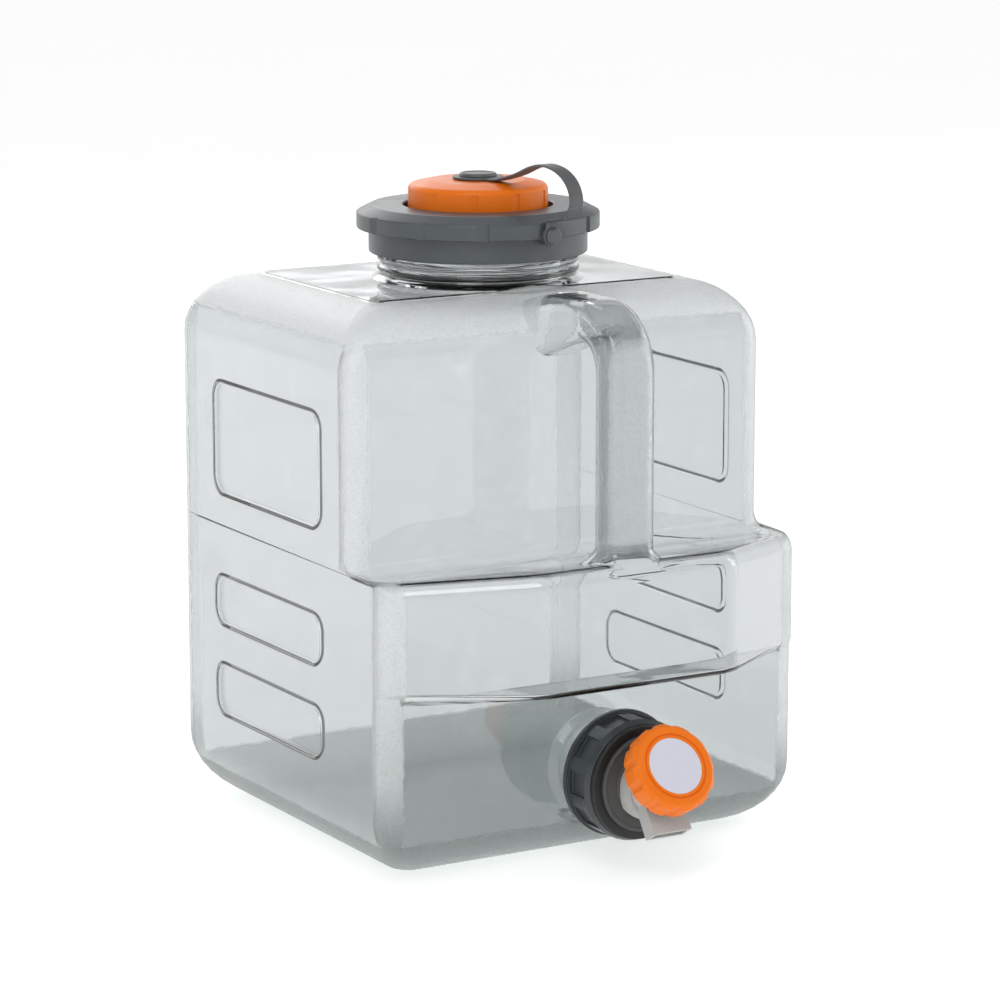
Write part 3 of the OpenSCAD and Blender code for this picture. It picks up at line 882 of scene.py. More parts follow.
@dataclass
class Tank:
    """Blow-moulded tank with its belly, hollow handle, neck and outlet.

    Sizes are in millimetres, in the frame's own axes.
    """

    width: float = 226.0
    depth: float = 176.0
    height: float = 263.0
    wall: float = 1.8
    corner: float = 9.0
    top_round: float = 29.0
    top_step: float = 0.9
    base_round: float = 32.0
    panel_out: float = 31.5
    belly_out: float = 33.0
    bay_out: float = 39.0
    bay_half: float = 50.0
    bend_width: float = 4.0
    lip: float = 92.0
    shelf: float = 143.0
    shelf_rise: float = 6.0
    shelf_dip: float = 3.0
    belly_round: float = 8.0
    grip_width: float = 25.3
    grip_depth: float = 19.5
    grip_out: float = 65.0
    bend: float = 32.0
    neck_y: float = -10.0
    neck_r: float = 47.4
    neck_top: float = 292.8
    outlet_z: float = 47.0
    outlet_r: float = 22.6
    outlet_rim: float = -153.5
    recess_depth: float = 1.6

    def body(self) -> Piece:
        """Draws the tank's closed form from its widest level down and up."""
        low_front = -self.depth / 2 - self.panel_out
        middle = (self.depth / 2 + low_front) / 2
        low_depth = self.depth + self.panel_out
        piece = Bench.plate("tank_shell", self.width * MM, low_depth * MM,
                            (0, middle * MM, self.base_round * MM))
        bend = self.bend_width
        with Editing(piece, Part.VERT):
            bpy.ops.mesh.bevel(offset=self.corner * MM, segments=6, affect="VERTICES")
            for x in (-self.bay_half - bend, -self.bay_half + bend,
                      self.bay_half - bend, self.bay_half + bend):
                bpy.ops.mesh.select_all(action="SELECT")
                bpy.ops.mesh.bisect(plane_co=(x * MM, 0, 0), plane_no=(1, 0, 0))
            bpy.ops.mesh.select_all(action="SELECT")
            bpy.ops.mesh.dissolve_faces()
            bpy.ops.mesh.delete(type="ONLY_FACE")
        with Editing(piece) as edit:
            about = Vector((0, middle * MM, 0))
            self.round_off(edit, self.base_round, -1, self.width, low_depth, about)
            edit.pick(lambda c, _: abs(c.z - self.base_round * MM) < 1e-6)
            self.belly(edit)
            self.round_off(edit, self.top_round, 1, self.width, self.depth, Vector())
            wide, deep = (size - 2 * self.top_round for size in (self.width, self.depth))
            edit.draw_out(up(self.top_step),
                          (1 - 2 * self.top_step / wide, 1 - 2 * self.top_step / deep, 1))
            bpy.ops.mesh.select_all(action="SELECT")
            bpy.ops.mesh.fill_holes(sides=0)
            Bench.tidy_faces()
        return piece

    @staticmethod
    def round_off(edit: Editing, radius: float, way: int, width: float, depth: float,
                  about: Vector) -> None:
        """Draws the selected ring in along a quarter circle.

        Args:
            edit: The open edit.
            radius: Radius of the rounding.
            way: 1 for upwards, -1 for downwards.
            width: The ring's width at its start.
            depth: Its depth at its start.
            about: The middle that it closes in on.
        """
        steps, inset = 9, 0.0
        for k in range(1, steps + 1):
            a, b = (math.radians(90 * i / steps) for i in (k - 1, k))
            rise = radius * (math.sin(b) - math.sin(a))
            further = radius * (1 - math.cos(b))
            scale = ((width - 2 * further) / (width - 2 * inset),
                     (depth - 2 * further) / (depth - 2 * inset), 1)
            edit.draw_out(up(way * rise), scale, about)
            inset = further

    def belly(self, edit: Editing) -> None:
        """Draws the front out to the belly and back to the upper wall.

        Args:
            edit: The open edit, with the ring of the widest level selected.
        """
        # [height, front out, bay out, bay rise, front dip]
        levels = [(self.lip - 5, self.panel_out, 0.0, 0.0, 0.0),
                  (self.lip - 2.6, self.belly_out - 1.7, self.bay_out * 0.93, 1.6, 0.0),
                  (self.lip - 1.6, self.belly_out - 0.8, self.bay_out * 0.985, 1.9, 0.0),
                  (self.lip + 0.2, self.belly_out, self.bay_out, 2.0, 0.0)]
        for k in range(7):
            a = math.radians(15 * k)
            levels.append((self.shelf - self.belly_round * (1 - math.sin(a)),
                           self.belly_out - self.belly_round * (1 - math.cos(a)),
                           self.bay_out, self.shelf_rise, 0.0))
        foot = 7.0
        for k in range(6):
            a = math.radians(90 * k / 5)
            levels.append((self.shelf + 0.5 + foot * (1 - math.cos(a)),
                           foot * (1 - math.sin(a)), 0.0, 0.0, self.shelf_dip))
        levels.append((self.height - self.top_round - self.top_step, 0.0, 0.0, 0.0, 0.0))
        z, out, bay, rise, dip = self.base_round, self.panel_out, 0.0, 0.0, 0.0
        for level in levels:
            edit.draw_out(up(level[0] - z))
            edit.shift(self.front_share, Vector((0, (out - level[1]) * MM, 0)))
            edit.shift(self.dip_share, up(dip - level[4]))
            edit.shift(self.bay_share, Vector((0, (bay - level[2]) * MM,
                                               (level[3] - rise) * MM)))
            z, out, bay, rise, dip = level

    def front_share(self, at: Vector) -> float:
        """1 for a point of the front wall or its two corners."""
        return float(at.y < (self.corner * 1.2 - self.depth / 2) * MM)

    def dip_share(self, at: Vector) -> float:
        """Rises from 0 at the sides to 1 where the front wall is flat."""
        inward = (self.width / 2 - abs(at.x) / MM) / self.corner
        return self.front_share(at) * min(1.0, max(0.0, inward))

    def bay_share(self, at: Vector) -> float:
        """1 on the bay's flat front, less on its bends, 0 outside them."""
        beyond = abs(at.x) / MM - self.bay_half + self.bend_width
        run = self.width / 2 - self.corner - self.bay_half
        if at.y > 0 or beyond > 2 * self.bend_width + 0.01:
            return 0.0
        return 1.0 - max(0.0, beyond) / 2 / run

    def handle(self) -> Piece:
        """Draws the grip up from the shelf and bends it back into the wall."""
        grip_y = -self.depth / 2 - self.grip_out + self.grip_depth / 2
        arm_top = self.height + 3
        low = self.shelf - 4
        piece = Bench.plate("handle", self.grip_width * MM, self.grip_depth * MM,
                            (0, grip_y * MM, low * MM))
        with Editing(piece, Part.VERT):
            bpy.ops.mesh.bevel(offset=7 * MM, segments=6, affect="VERTICES")
            bpy.ops.mesh.delete(type="ONLY_FACE")
        centre = Vector((0, grip_y * MM, 0))
        with Editing(piece) as edit:
            stub, flare = 6, 9.0
            foot_wide, foot_deep, ease = 0.75, 0.68, 1.6
            wide, deep = 1 + foot_wide, 1 + foot_deep
            bpy.ops.transform.resize(value=(wide, deep, 1), center_override=tuple(centre))
            edit.draw_out(up(stub))
            for k in range(1, 7):
                a = math.radians(15 * k)
                rise = flare * (math.sin(a) - math.sin(a - math.radians(15)))
                w = 1 + foot_wide * (1 - math.sin(a)) ** ease
                d = 1 + foot_deep * (1 - math.sin(a)) ** ease
                edit.draw_out(up(rise), (w / wide, d / deep, 1), centre)
                wide, deep = w, d
            bend_z = arm_top - self.bend
            start = low + stub + flare
            edit.draw_out(up(bend_z - start))
            mid_r = self.bend - self.grip_depth / 2
            pivot = (0, (grip_y + mid_r) * MM, bend_z * MM)
            bpy.ops.mesh.spin(steps=8, angle=math.radians(90), center=pivot, axis=(1, 0, 0))
            y = grip_y + mid_r
            arm_z = arm_top - self.grip_depth / 2
            # [back, up, wider, taller] for each stretch of the arm
            for dy, dz, w, d in ((14, -1.7, 1.03, 1.17), (12, -2.6, 1.1, 1.22),
                                 (11, -3.2, 1.1, 1.06), (12, -3.0, 1.0, 1.0)):
                y, arm_z = y + dy, arm_z + dz
                edit.draw_out(Vector((0, dy * MM, dz * MM)), (w, 1, d),
                              Vector((0, y * MM, arm_z * MM)))
            bpy.ops.mesh.select_all(action="SELECT")
            bpy.ops.mesh.fill_holes(sides=0)
            Bench.tidy_faces()
        return piece

    def neck(self) -> Piece:
        """Turns the filling neck with its two ring beads."""
        r, low = self.neck_r, self.height
        outline = [(r + 9, low - 1.2, 0), (r + 4, low - 0.2, 3), (r, low + 2.0, 3),
                   (r, low + 3.0, 0.6), (r + 1.3, low + 4.4, 0.9), (r + 1.3, low + 5.6, 0.9),
                   (r, low + 7.0, 0.6), (r, low + 7.7, 0.6), (r + 1.3, low + 9.0, 0.9),
                   (r + 1.3, low + 10.2, 0.9), (r, low + 11.6, 0.6), (r, self.neck_top, 0)]
        piece = Bench.turned("neck", outline, 128, closed=False)
        Bench.put(piece, Matrix.Translation((0, self.neck_y * MM, 0)))
        return piece

    def outlet(self) -> Piece:
        """Turns the outlet's neck, out from the lower front panel."""
        r = self.outlet_r
        front = self.depth / 2 + self.panel_out
        outline = [(r + 8, front - 1.0, 0), (r + 3.5, front - 0.1, 2.5), (r, front + 3.5, 3),
                   (r, -self.outlet_rim, 0)]
        piece = Bench.turned("outlet", outline, 96, closed=False)
        turn = rotation(90, "X")
        Bench.put(piece, Matrix.Translation((0, 0, self.outlet_z * MM)) @ turn)
        return piece

    def recesses(self) -> Piece:
        """Makes the blocks that press the shallow panels into both sides."""
        made = []
        for low, high in ((159, 213), (94, 117.5), (49, 73.5)):
            for side in (-1, 1):
                thick = 20.0
                x = side * (self.width / 2 - self.recess_depth + thick / 2)
                block = Bench.block(
                    "recess", point(thick, 108, high - low),
                    point(x, -4, (low + high) / 2))
                with Editing(block) as edit:
                    edit.pick(lambda _, way: abs(way.x) > 0.9)
                    bpy.ops.mesh.bevel(offset=8 * MM, segments=7, affect="EDGES")
                    edit.pick(lambda c, way, s=side: abs(way.x) < 0.1
                              and c.x * s < (self.width / 2) * MM)
                    bpy.ops.mesh.bevel(offset=1.0 * MM, segments=3, affect="EDGES")
                made.append(block)
        Bench.join(made[0], *made[1:])
        return made[0]

    def threads(self) -> list[Piece]:
        """Makes the thread ridges on the neck and on the outlet."""
        neck = Bench.thread("neck_thread", self.neck_r, 1.9, 6.0, 1.5, self.height + 15)
        Bench.put(neck, Matrix.Translation((0, self.neck_y * MM, 0)))
        outlet = Bench.thread("outlet_thread", self.outlet_r, 1.4, 3.2, 2.0, 0)
        turn = rotation(90, "X")
        at = point(0, self.outlet_rim + 9.5, self.outlet_z)
        Bench.put(outlet, Matrix.Translation(at) @ turn)
        return [neck, outlet]

    def build(self) -> None:
        """Builds the whole tank and sets it in place of its node."""
        shell = self.body()
        Bench.combine(shell, self.recesses(), Cut.CARVE)
        for part in (self.handle(), self.neck(), self.outlet()):
            Bench.combine(shell, part, Cut.JOIN)
        with Editing(shell, Part.FACE) as edit:
            edit.pick(lambda c, n: (n.z > 0.99 and c.z > (self.neck_top - 0.5) * MM)
                      or (n.y < -0.99 and c.y < (self.outlet_rim + 0.5) * MM
                          and abs(c.z - self.outlet_z * MM) < 5 * MM
                          and abs(c.x) < 5 * MM))
            bpy.ops.mesh.delete(type="FACE")
            Bench.tidy_faces()
        Bench.smooth(shell, TANK_CREASE)
        hollow = shell.modifiers.new("wall", "SOLIDIFY")
        hollow.thickness, hollow.offset = self.wall * MM, -1
        hollow.use_even_offset, hollow.use_quality_normals = False, True
        Bench.weigh(shell)
        Bench.apply(shell)
        threads = self.threads()
        for thread in threads:
            Bench.smooth(thread, TANK_CREASE)
        Bench.join(shell, *threads)
        Bench.fit(shell, "tank", Slot.TANK, "tank")


# ---- lid -----------------------------------------------------------------


@dataclass
class Lid:
    """Grey screw lid with saw-toothed notches, two threads and a strap pin."""

    neck_y: float = -10.0
    skirt_r: float = 52.6
    inner_r: float = 50.2
    low: float = 275.5
    flange_r: float = 58.4
    flange_low: float = 287.0
    flange_high: float = 294.5
    top: float = 298.0
    well_r: float = 36.0
    well_floor: float = 290.0
    floor: float = 2.5
    spout_r: float = 27.0
    spout_in: float = 24.2
    spout_top: float = 304.3
    notches: int = 12
    notch_angle: float = -114.85
    notch_long: float = 14.0
    notch_deep: float = 2.4
    pin_angle: float = -84.6
    pin_z: float = 288.5
    pin_seat: float = 59.0
    pin_r: float = 2.2

    def place(self) -> Matrix:
        """Where the lid's axis stands."""
        return Matrix.Translation((0, self.neck_y * MM, 0))

    def on_pin(self, out: float) -> Matrix:
        """The pin's own frame, with +Z out of the lid, this far from the axis."""
        turn = rotation(self.pin_angle, "Z")
        tip = rotation(90, "Y")
        return self.place() @ turn @ Matrix.Translation((out * MM, 0, self.pin_z * MM)) @ tip

    def outline(self) -> Outline:
        """The lid's section, with the radius of each of its corners."""
        under = self.well_floor - self.floor
        return [(self.inner_r, self.low, 0.3), (self.skirt_r, self.low, 0.6),
                (self.skirt_r, self.flange_low, 0.6), (self.flange_r, self.flange_low, 0.7),
                (self.flange_r, self.flange_high, 1.2), (51.5, self.top, 2.5),
                (self.well_r, self.top, 0.8), (self.well_r, self.well_floor, 0.6),
                (self.spout_r, self.well_floor, 0.6), (self.spout_r, self.spout_top, 0.7),
                (self.spout_in, self.spout_top, 0.7), (self.spout_in, under, 0.5),
                (self.well_r + self.floor, under, 0.5),
                (self.well_r + self.floor, self.top - 2.8, 0.5),
                (self.inner_r, self.top - 2.8, 0.5)]

    def notch(self) -> Piece:
        """Makes the slanted blocks that cut the finger notches."""
        tall = self.flange_high - self.flange_low + 4
        size = point(self.notch_deep + 4, self.notch_long + 1, tall)
        middle = point(2, -(self.notch_long + 1) / 2, tall / 2)
        block = Bench.block("notch", size, middle, 0.5 * MM)
        lean = math.atan(self.notch_deep / self.notch_long)
        Bench.put(block, rotation(self.notch_angle, "Z")
                  @ Matrix.Translation(point(self.flange_r, 0, self.flange_low - 1))
                  @ Matrix.Rotation(lean, 4, "Z"))
        return Bench.copies_round(block, self.notches)

    def shell(self) -> Piece:
        """Turns the lid, cuts its notches and adds the boss of the pin."""
        shell = Bench.turned("lid_shell", self.outline(), 160)
        Bench.combine(shell, self.notch(), Cut.CARVE)
        Bench.put(shell, self.place())
        boss = Bench.turned("boss", [(4.9, 0, 0), (4.5, 2.0, 1), (4.5, 7.0, 0.6), (2.6, 7.0, 0)],
                            40, closed=False)
        Bench.put(boss, self.on_pin(52.0))
        Bench.combine(shell, boss, Cut.JOIN)
        Bench.soften(shell, 0.3, 30)
        neck = Bench.thread("lid_thread", self.inner_r, -1.9, 6.0, 1.5, 281.0)
        spout = Bench.thread("spout_thread", self.spout_r, 1.6, 4.0, 1.5, 294.5)
        for thread in (neck, spout):
            Bench.put(thread, self.place())
            Bench.soften(thread, 0.0)
        Bench.join(shell, neck, spout)
        return shell

    def pin(self) -> Piece:
        """Turns the round-headed pin that holds the strap's end."""
        root = 54.0
        head = self.pin_seat + 2 - root
        return Bench.lathed("strap_pin", [
            (self.pin_r - 0.4, 0, 0), (self.pin_r, 0.6, 0.2), (self.pin_r, head, 0.2),
            (4.2, head, 0.2), (4.1, head + 0.6, 0.5), (3.2, head + 1.4, 0.9),
            (1.4, head + 1.4, 0)], self.on_pin(root), 40, closed=False)

    def build(self) -> None:
        """Builds the lid, its pin and its seal."""
        Bench.fit(self.shell(), "lid", Slot.LID, "main_cap")
        Bench.fit(self.pin(), "lid", Slot.STRAP, "tether_pin")
        seal = Bench.lathed("lid_seal_ring", flat_ring(44.6, 50.0, 292.8, 295.2, 0.5, 0.5),
                            self.place(), 128)
        Bench.fit(seal, "lid_seal", Slot.SILICONE, "main_cap_gasket")


# ---- fill cap and its strap ----------------------------------------------


@dataclass
class FillCap:
    """Orange screw cap with shallow flutes, and the seal under it."""

    neck_y: float = -10.0
    radius: float = 33.6
    inner_r: float = 29.6
    low: float = 291.0
    edge: float = 307.5
    crown_r: float = 23.0
    crown_z: float = 309.7
    under: float = 306.5
    hole_r: float = 4.6
    flutes: int = 10
    flute_angle: float = -119.65
    flute_long: float = 16.0
    flute_deep: float = 1.2

    def place(self) -> Matrix:
        """Where the cap's axis stands."""
        return Matrix.Translation((0, self.neck_y * MM, 0))

    def flute(self) -> Piece:
        """Makes the blocks that cut the flutes round the rim."""
        tall = self.edge - self.low - 1
        size = point(self.flute_deep + 4, self.flute_long, tall)
        block = Bench.block("flute", size, point(2, -self.flute_long / 2, tall / 2),
                            0.4 * MM)
        at = point(self.radius, 0, self.low - 1)
        Bench.put(block, rotation(self.flute_angle, "Z")
                  @ Matrix.Translation(at) @ rotation(5, "Z"))
        return Bench.copies_round(block, self.flutes)

    def shell(self) -> Piece:
        """Turns the cap, with a low crown, and cuts its flutes."""
        shell = Bench.turned("fill_cap_shell", [
            (self.inner_r, self.low, 0.4), (self.radius, self.low, 0.6),
            (self.radius, self.edge, 3.0), (self.crown_r, self.crown_z, 6.0),
            (self.hole_r, self.crown_z, 0.4), (self.hole_r, self.under, 0.3),
            (self.inner_r, self.under, 0.8)], 160)
        Bench.combine(shell, self.flute(), Cut.CARVE)
        Bench.soften(shell, 0.35, 14)
        thread = Bench.thread("fill_thread", self.inner_r, -1.6, 4.0, 1.25, 296.5)
        Bench.soften(thread, 0.0)
        Bench.join(shell, thread)
        Bench.put(shell, self.place())
        return shell

    def build(self) -> None:
        """Builds the cap and its seal."""
        Bench.fit(self.shell(), "fill", Slot.ORANGE, "fill_cap")
        seal = Bench.lathed("fill_seal_ring", flat_ring(22.2, 28.7, 304.3, 306.5, 0.5, 0.5),
                            self.place(), 96)
        Bench.fit(seal, "fill_seal", Slot.SILICONE, "fill_cap_gasket")


@dataclass
class Tether:
    """Flat strap from the swivel button on the cap to the lid's pin.

    The knots give the strap's middle line from the button outwards: distance
    from the lid's axis, and height above the button's seat.
    """

    lid: Lid
    width: float = 7.5
    thick: float = 1.1
    seat: float = 310.55
    eye_r: float = 12.2
    end_r: float = 5.0
    button_r: float = 9.3
    knots: tuple[tuple[float, float], ...] = (
        (8, 0), (18, 0.4), (34, 4.5), (46, 9), (56, 10.8), (67, 9), (75, 4), (78.5, -3),
        (76.5, -9), (71, -12.5), (64.5, -14), (60.3, -15.05), (60, -17.45), (60, -22.05))
    steps: int = 4

    def line(self) -> list[Vector]:
        """A round curve through the knots, as (distance, height)."""
        knots = [Vector((r, self.seat + h)) for r, h in self.knots]
        points = []
        for i in range(len(knots) - 1):
            p0, p1, p2 = knots[max(i - 1, 0)], knots[i], knots[i + 1]
            p3 = knots[min(i + 2, len(knots) - 1)]
            for k in range(self.steps):
                t = k / self.steps
                points.append(0.5 * (2 * p1 + (p2 - p0) * t
                                     + (2 * p0 - 5 * p1 + 4 * p2 - p3) * t * t
                                     + (3 * p1 - p0 - 3 * p2 + p3) * t * t * t))
        return points + [knots[-1]]

    def band(self) -> Piece:
        """Draws the strap's section along its line, turning it as it goes."""
        line = self.line()
        piece = Bench.plate("strap", self.thick * MM, self.width * MM,
                            turn=(0, math.pi / 2, 0))
        with Editing(piece, Part.VERT):
            bpy.ops.mesh.bevel(offset=0.3 * MM, segments=2, affect="VERTICES")
            bpy.ops.mesh.delete(type="ONLY_FACE")
            bpy.ops.mesh.select_all(action="SELECT")
            section = [v.co.copy() for v in bmesh.from_edit_mesh(piece.data).verts]
        with Editing(piece) as edit:
            for i, here in enumerate(line):
                if i:
                    edit.draw_out(up(0.01))
                along = line[min(i + 1, len(line) - 1)] - line[max(i - 1, 0)]
                turn = Matrix.Rotation(-math.atan2(along.y, along.x), 4, "Y")
                place = Matrix.Translation((here.x * MM, 0, here.y * MM)) @ turn
                edit.lay_ring(section, place)
            bpy.ops.mesh.select_all(action="SELECT")
            bpy.ops.mesh.fill_holes(sides=0)
            Bench.tidy_faces()
        Bench.put(piece, self.lid.place()
                  @ rotation(self.lid.pin_angle, "Z"))
        return piece

    def strap(self) -> Piece:
        """Builds the strap with the eye round the button and the end on the pin."""
        strap = self.band()
        low, high = self.seat - 0.6, self.seat + 0.6
        hole_r = 4.8
        eye = Bench.turned("eye", flat_ring(hole_r, self.eye_r, low, high, 0.3, 0.35), 96)
        Bench.put(eye, self.lid.place())
        end = Bench.turned("end", flat_ring(2.4, self.end_r, -0.6, 0.6, 0.2, 0.35), 48)
        Bench.put(end, self.lid.on_pin(self.lid.pin_seat + 1))
        hole = Bench.turned("hole", [(hole_r, low - 4, 0), (hole_r, high + 4, 0)], 96,
                            closed=False)
        Bench.put(hole, self.lid.place())
        Bench.combine(strap, hole, Cut.CARVE)
        for part in (eye, end):
            Bench.combine(strap, part, Cut.JOIN)
        Bench.soften(strap, 0.0, 40)
        return strap

    def button(self) -> Piece:
        """Turns the swivel button that snaps into the fill cap."""
        top = self.seat + 0.65
        return Bench.lathed("swivel_button", [
            (3.4, 304.1, 0), (4.6, 304.1, 0.4), (6.2, 306.4, 0.5), (4.5, 306.4, 0.2),
            (4.5, top, 0.3), (self.button_r, top, 0.3), (self.button_r - 0.7, top + 1.6, 0.9),
            (7.4, top + 1.6, 0.3), (6.9, top + 1.3, 0.2), (0.4, top + 1.3, 0)],
            self.lid.place(), 96, closed=False)

    def build(self) -> None:
        """Builds the strap and its button."""
        strap = self.strap()
        Paint.on(strap, Slot.STRAP)
        turn = rotation(self.lid.pin_angle, "Z")
        start, end = (self.lid.place() @ turn @ (point(r, 0, z))
                      for r, z in ((68, self.seat - 8), (13, self.seat)))
        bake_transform(strap)
        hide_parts("tether_strap")
        Bench.fit(self.button(), "fill_seal", Slot.STRAP, "tether_button")


# ---- tap -----------------------------------------------------------------


@dataclass
class Tap:
    """Collar, washer and disc on the outlet, the grey spout and its knob.

    Turned pieces are drawn about +Z and then laid down, so that a height in
    an outline is the distance ahead of the tank's middle.
    """

    outlet_z: float = 47.0
    collar_back: float = 138.9
    collar_front: float = 158.5
    collar_r: float = 29.9
    collar_front_r: float = 27.4
    collar_in: float = 24.7
    face: float = 3.0
    shank_r: float = 10.05
    grips: int = 10
    grip_wide: float = 11.2
    washer_r: float = 27.0
    washer: float = 2.6
    hub_r: float = 22.7
    hub: float = 2.4
    knob_at: tuple[float, float, float] = (0.0, -188.2, 61.3)
    knob_lean: float = 57.0
    knob_r: float = 20.9
    knob_long: float = 12.0
    lobes: int = 12
    valley_r: float = 3.4
    label_r: float = 13.4

    def place(self) -> Matrix:
        """Lays a turned piece on the outlet's axis."""
        up = Matrix.Translation((0, 0, self.outlet_z * MM))
        return up @ rotation(90, "X")

    def knob_place(self) -> Matrix:
        """Stands a turned piece on the knob's axis."""
        at = Matrix.Translation(Vector(self.knob_at) * MM)
        return at @ rotation(self.knob_lean, "X")

    def ring(self, name: str, outline: Outline) -> Piece:
        """Turns a finished ring on the outlet's axis."""
        return Bench.lathed(name, outline, self.place(), 128)

    def collar(self) -> Piece:
        """Turns the screw collar and sinks its grips."""
        back, front, r = self.collar_back, self.collar_front, self.collar_r
        collar = Bench.turned("outlet_collar", [
            (self.collar_in, back, 0.3), (r, back, 0.4), (r, back + 2.6, 0.4),
            (r - 1.2, back + 2.6, 0.3), (r - 1.2, front - 3, 0.8),
            (self.collar_front_r, front, 0.6), (self.shank_r, front, 0.3),
            (self.shank_r, front - self.face, 0.3), (self.collar_in, front - self.face, 0.4)],
            160)
        tall = front - back - 7.4
        grip = Bench.block("grip", point(6, self.grip_wide, tall),
                           point(r, 0, back + 4.2 + tall / 2), 0.5 * MM)
        Bench.combine(collar, Bench.copies_round(grip, self.grips), Cut.CARVE)
        Bench.soften(collar, 0.35, 30)
        thread = Bench.thread("collar_thread", self.collar_in, -1.4, 3.2, 2.0, 145.6)
        Bench.soften(thread, 0.0)
        Bench.join(collar, thread)
        Bench.put(collar, self.place())
        return collar

    def knob(self) -> Piece:
        """Turns the knob, hollows its back and cuts its lobes and label seat."""
        r, back = self.knob_r, -self.knob_long
        knob = Bench.turned("tap_knob_grip", [
            (r - 3.2, back, 0.4), (r - 0.4, back, 0.6), (r - 0.2, -4.6, 0.2), (r, -4.2, 0.3),
            (r, -2.2, 1.2), (r - 2.2, 0, 1.0), (15.6, 0, 0.3), (15.6, -0.7, 0.15),
            (14.7, -0.7, 0.15), (14.7, 0, 0.2), (self.label_r, 0, 0.2),
            (self.label_r, -0.8, 0.1), (3.4, -0.8, 0.1), (3.4, -3.4, 0.2), (1.6, -3.4, 0.1),
            (1.6, -4.9, 0.1), (3.05, -4.9, 0.1), (3.05, back, 0.2), (6.2, back, 0.4),
            (6.2, -4.0, 0.4), (r - 3.2, -4.0, 0.8)], 192)
        valley = Bench.turned("valley", [(self.valley_r, back - 1, 0), (self.valley_r, 1, 0)],
                              32, closed=False)
        out = Matrix.Translation(((r + self.valley_r - 1.3) * MM, 0, 0))
        Bench.put(valley, Matrix.Rotation(math.pi / self.lobes, 4, "Z") @ out)
        Bench.combine(knob, Bench.copies_round(valley, self.lobes), Cut.CARVE)
        Bench.soften(knob, 0.5, 30, 3)
        Bench.put(knob, self.knob_place())
        return knob

    def label(self) -> Piece:
        """Turns the round plain label."""
        return Bench.lathed("knob_disc", [
            (4.0, -0.79, 0), (self.label_r, -0.79, 0.1), (self.label_r, 0, 0.25), (0.5, 0.02, 0)],
            self.knob_place(), 96, closed=False)

    @staticmethod
    def copies(*rows: tuple[str, str, str, Slot, float]) -> None:
        """Fits copies of CAD solids, each by name, node, body, finish and edge."""
        for name, node, body, slot, edge in rows:
            Bench.fit(Bench.from_node(name, node, edge), body, slot, node)

    def build(self) -> None:
        """Builds everything on the outlet."""
        Bench.fit(self.collar(), "tap", Slot.COLLAR, "outlet_cap")
        front = self.collar_front
        # Black rubber washer; the near-black ring it shows between collar and hub disc is also
        # painted shade of the gap there.
        washer = self.ring("outlet_washer", flat_ring(
            self.shank_r, self.washer_r, front, front + self.washer, 0.3, 0.8))
        Bench.fit(washer, "tap", Slot.RUBBER, "front_washer")
        front += self.washer
        hub = self.ring("hub_disc", [
            (self.shank_r, front, 0.2), (self.hub_r, front, 0.4),
            (self.hub_r, front + self.hub, 0.8), (self.hub_r - 1.6, front + self.hub, 0.2),
            (self.hub_r - 2.2, front + self.hub - 0.4, 0.2),
            (15.4, front + self.hub - 0.4, 0.2), (14.9, front + self.hub, 0.2),
            (self.shank_r, front + self.hub, 0.2)])
        Bench.fit(hub, "tap", Slot.HUB, "hub_plate")
        gasket = self.ring("outlet_seal_ring", flat_ring(19.2, 23.8, 153.5, 155.5, 0.4, 0.4))
        Bench.fit(gasket, "outlet_seal", Slot.SILICONE, "outlet_gasket")
        self.copies(
            ("spout", "tap_body", "tap", Slot.SPOUT, 0.45),
            ("inner_washer", "shank_washer", "tap", Slot.RUBBER, 0.3),
            ("inner_nut", "shank_nut", "tap", Slot.SPOUT, 0.4),
            ("bonnet", "valve_bonnet", "tap", Slot.SPOUT, 0.25),
            ("stem_ring", "stem_o_ring", "tap", Slot.RUBBER, 0.0),
            ("plug", "valve_plug", "plug", Slot.SILICONE, 0.25))
        Bench.fit(self.knob(), "knob", Slot.ORANGE, "tap_knob")
        Bench.fit(self.label(), "knob", Slot.LABEL, "knob_label")
        self.copies(("stem", "valve_stem", "knob", Slot.SPOUT, 0.2),
                    ("stem_screw", "knob_screw", "knob", Slot.STEEL, 0.1))


# ---- studio --------------------------------------------------------------


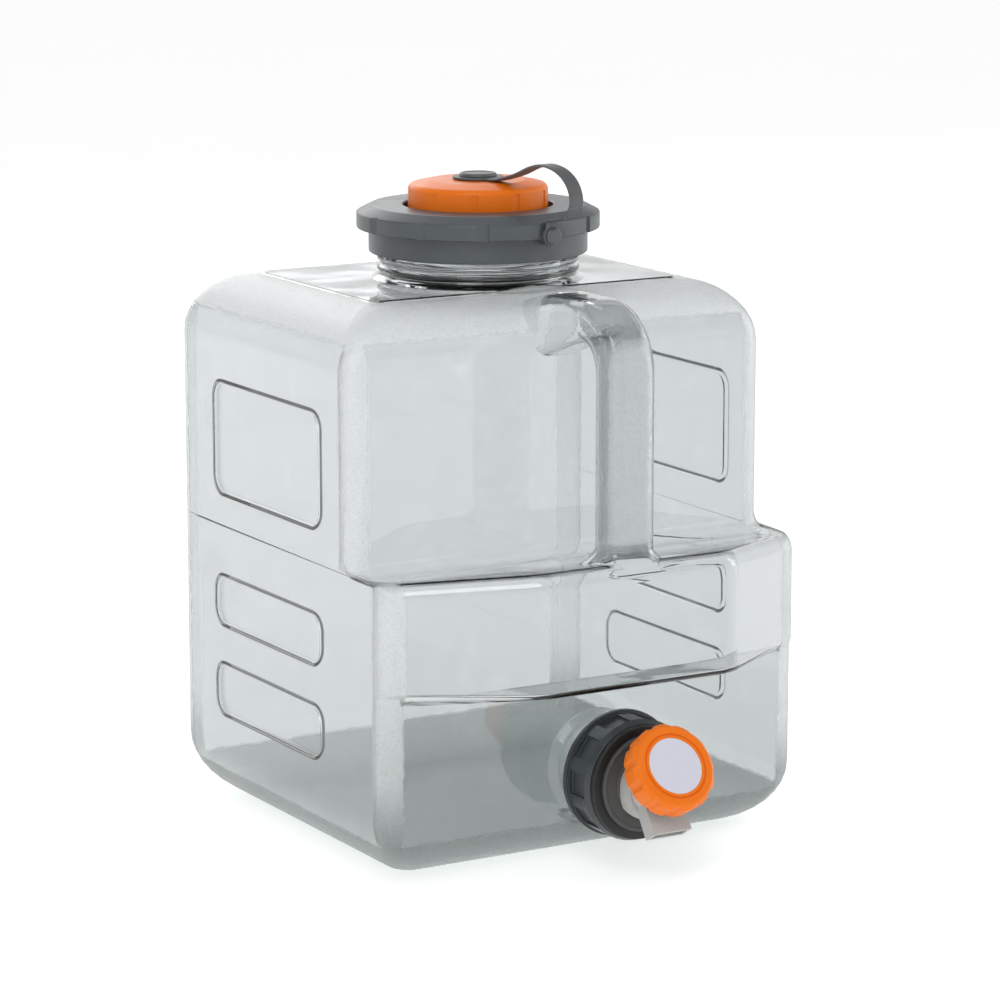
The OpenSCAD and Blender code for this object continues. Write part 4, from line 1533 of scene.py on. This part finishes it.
@dataclass
class Studio:
    """Pale floor, soft light and the camera."""

    camera_at: tuple[float, float, float] = (-0.93284, -1.62378, 0.52995)
    camera_aim: tuple[float, float, float] = (0.01345, -0.00788, 0.15113)
    lens: float = 140.775

    def camera(self) -> None:
        """Sets up the camera, level and aimed at the tank."""
        data = bpy.data.cameras.new("camera")
        data.lens, data.sensor_width = self.lens, 36.0
        data.clip_start, data.clip_end = 0.05, 50.0
        camera = bpy.data.objects.new("camera", data)
        camera.location = self.camera_at
        way = Vector(self.camera_aim) - Vector(self.camera_at)
        camera.rotation_euler = way.to_track_quat("-Z", "Y").to_euler()
        bpy.context.collection.objects.link(camera)
        bpy.context.scene.camera = camera

    @staticmethod
    def light(name: str, at: Sequence[float], size: tuple[float, float], power: float) -> None:
        """Adds a large soft lamp aimed at the tank.

        Args:
            name: The lamp's name.
            at: Its place.
            size: Its width and height in metres.
            power: Its power in watts.
        """
        data = bpy.data.lights.new(name, "AREA")
        data.shape, data.size, data.size_y, data.energy = "RECTANGLE", size[0], size[1], power
        lamp = bpy.data.objects.new(name, data)
        lamp.location = at
        way = Vector((0, -0.02, 0.16)) - Vector(at)
        lamp.rotation_euler = way.to_track_quat("-Z", "Y").to_euler()
        bpy.context.collection.objects.link(lamp)

    def floor(self) -> None:
        """Lays a wide, flat, pale floor that glows a little."""
        bpy.ops.object.select_all(action="DESELECT")
        bpy.ops.mesh.primitive_plane_add(size=30, location=(0, 0, 0))
        floor = Bench.named("floor")
        graph = Graph.material("pale_floor")
        tone = graph.noise(300.0, 2.0)
        material = graph.surface({
            "Base Color": graph.blend(tone, (0.90, 0.90, 0.90), (0.93, 0.93, 0.93)),
            "Roughness": 0.7,
            "Specular IOR Level": 0.2,
            "Emission Color": (1.0, 1.0, 1.0, 1.0),
            "Emission Strength": 0.40,
        })
        floor.data.materials.append(material)

    @staticmethod
    def sky() -> None:
        """Gives soft white surroundings, darker overhead for shape in the edges."""
        world = bpy.data.worlds.new("studio")
        bpy.context.scene.world = world
        graph = Graph(world, "Generated")
        stops = [(height, (grey, grey, grey * 1.01))
                 for height, grey in ((0.0, 1.0), (0.20, 1.0), (0.40, 0.32), (1.0, 0.80))]
        shade = graph.add("ShaderNodeValToRGB", {"stops": stops}, {0: graph.z})
        graph.show(graph.add("ShaderNodeBackground", {}, {0: shade}), "ShaderNodeOutputWorld")

    def build(self) -> None:
        """Sets up the whole studio."""
        bpy.context.scene.view_settings.view_transform = "Standard"
        self.camera()
        self.floor()
        self.sky()
        self.light("key", (-1.3, -1.5, 1.8), (1.1, 1.1), 16)
        self.light("side", (1.9, -0.6, 0.9), (0.6, 1.6), 9)
        self.light("back", (0.2, 2.0, 1.2), (2.0, 1.2), 14)


def main() -> None:
    """Builds the studio and every piece in order."""
    Studio().build()
    Tank().build()
    lid = Lid()
    lid.build()
    FillCap().build()
    Tether(lid).build()
    Tap().build()
    slots = {s["node"]: Slot(s["material_slot"]) for s in frame["record"]["subparts"]}
    for name, node in frame["nodes"].items():
        if not node.hide_render:
            Paint.on(node, slots[name])


if __name__ == "__main__":
    main()
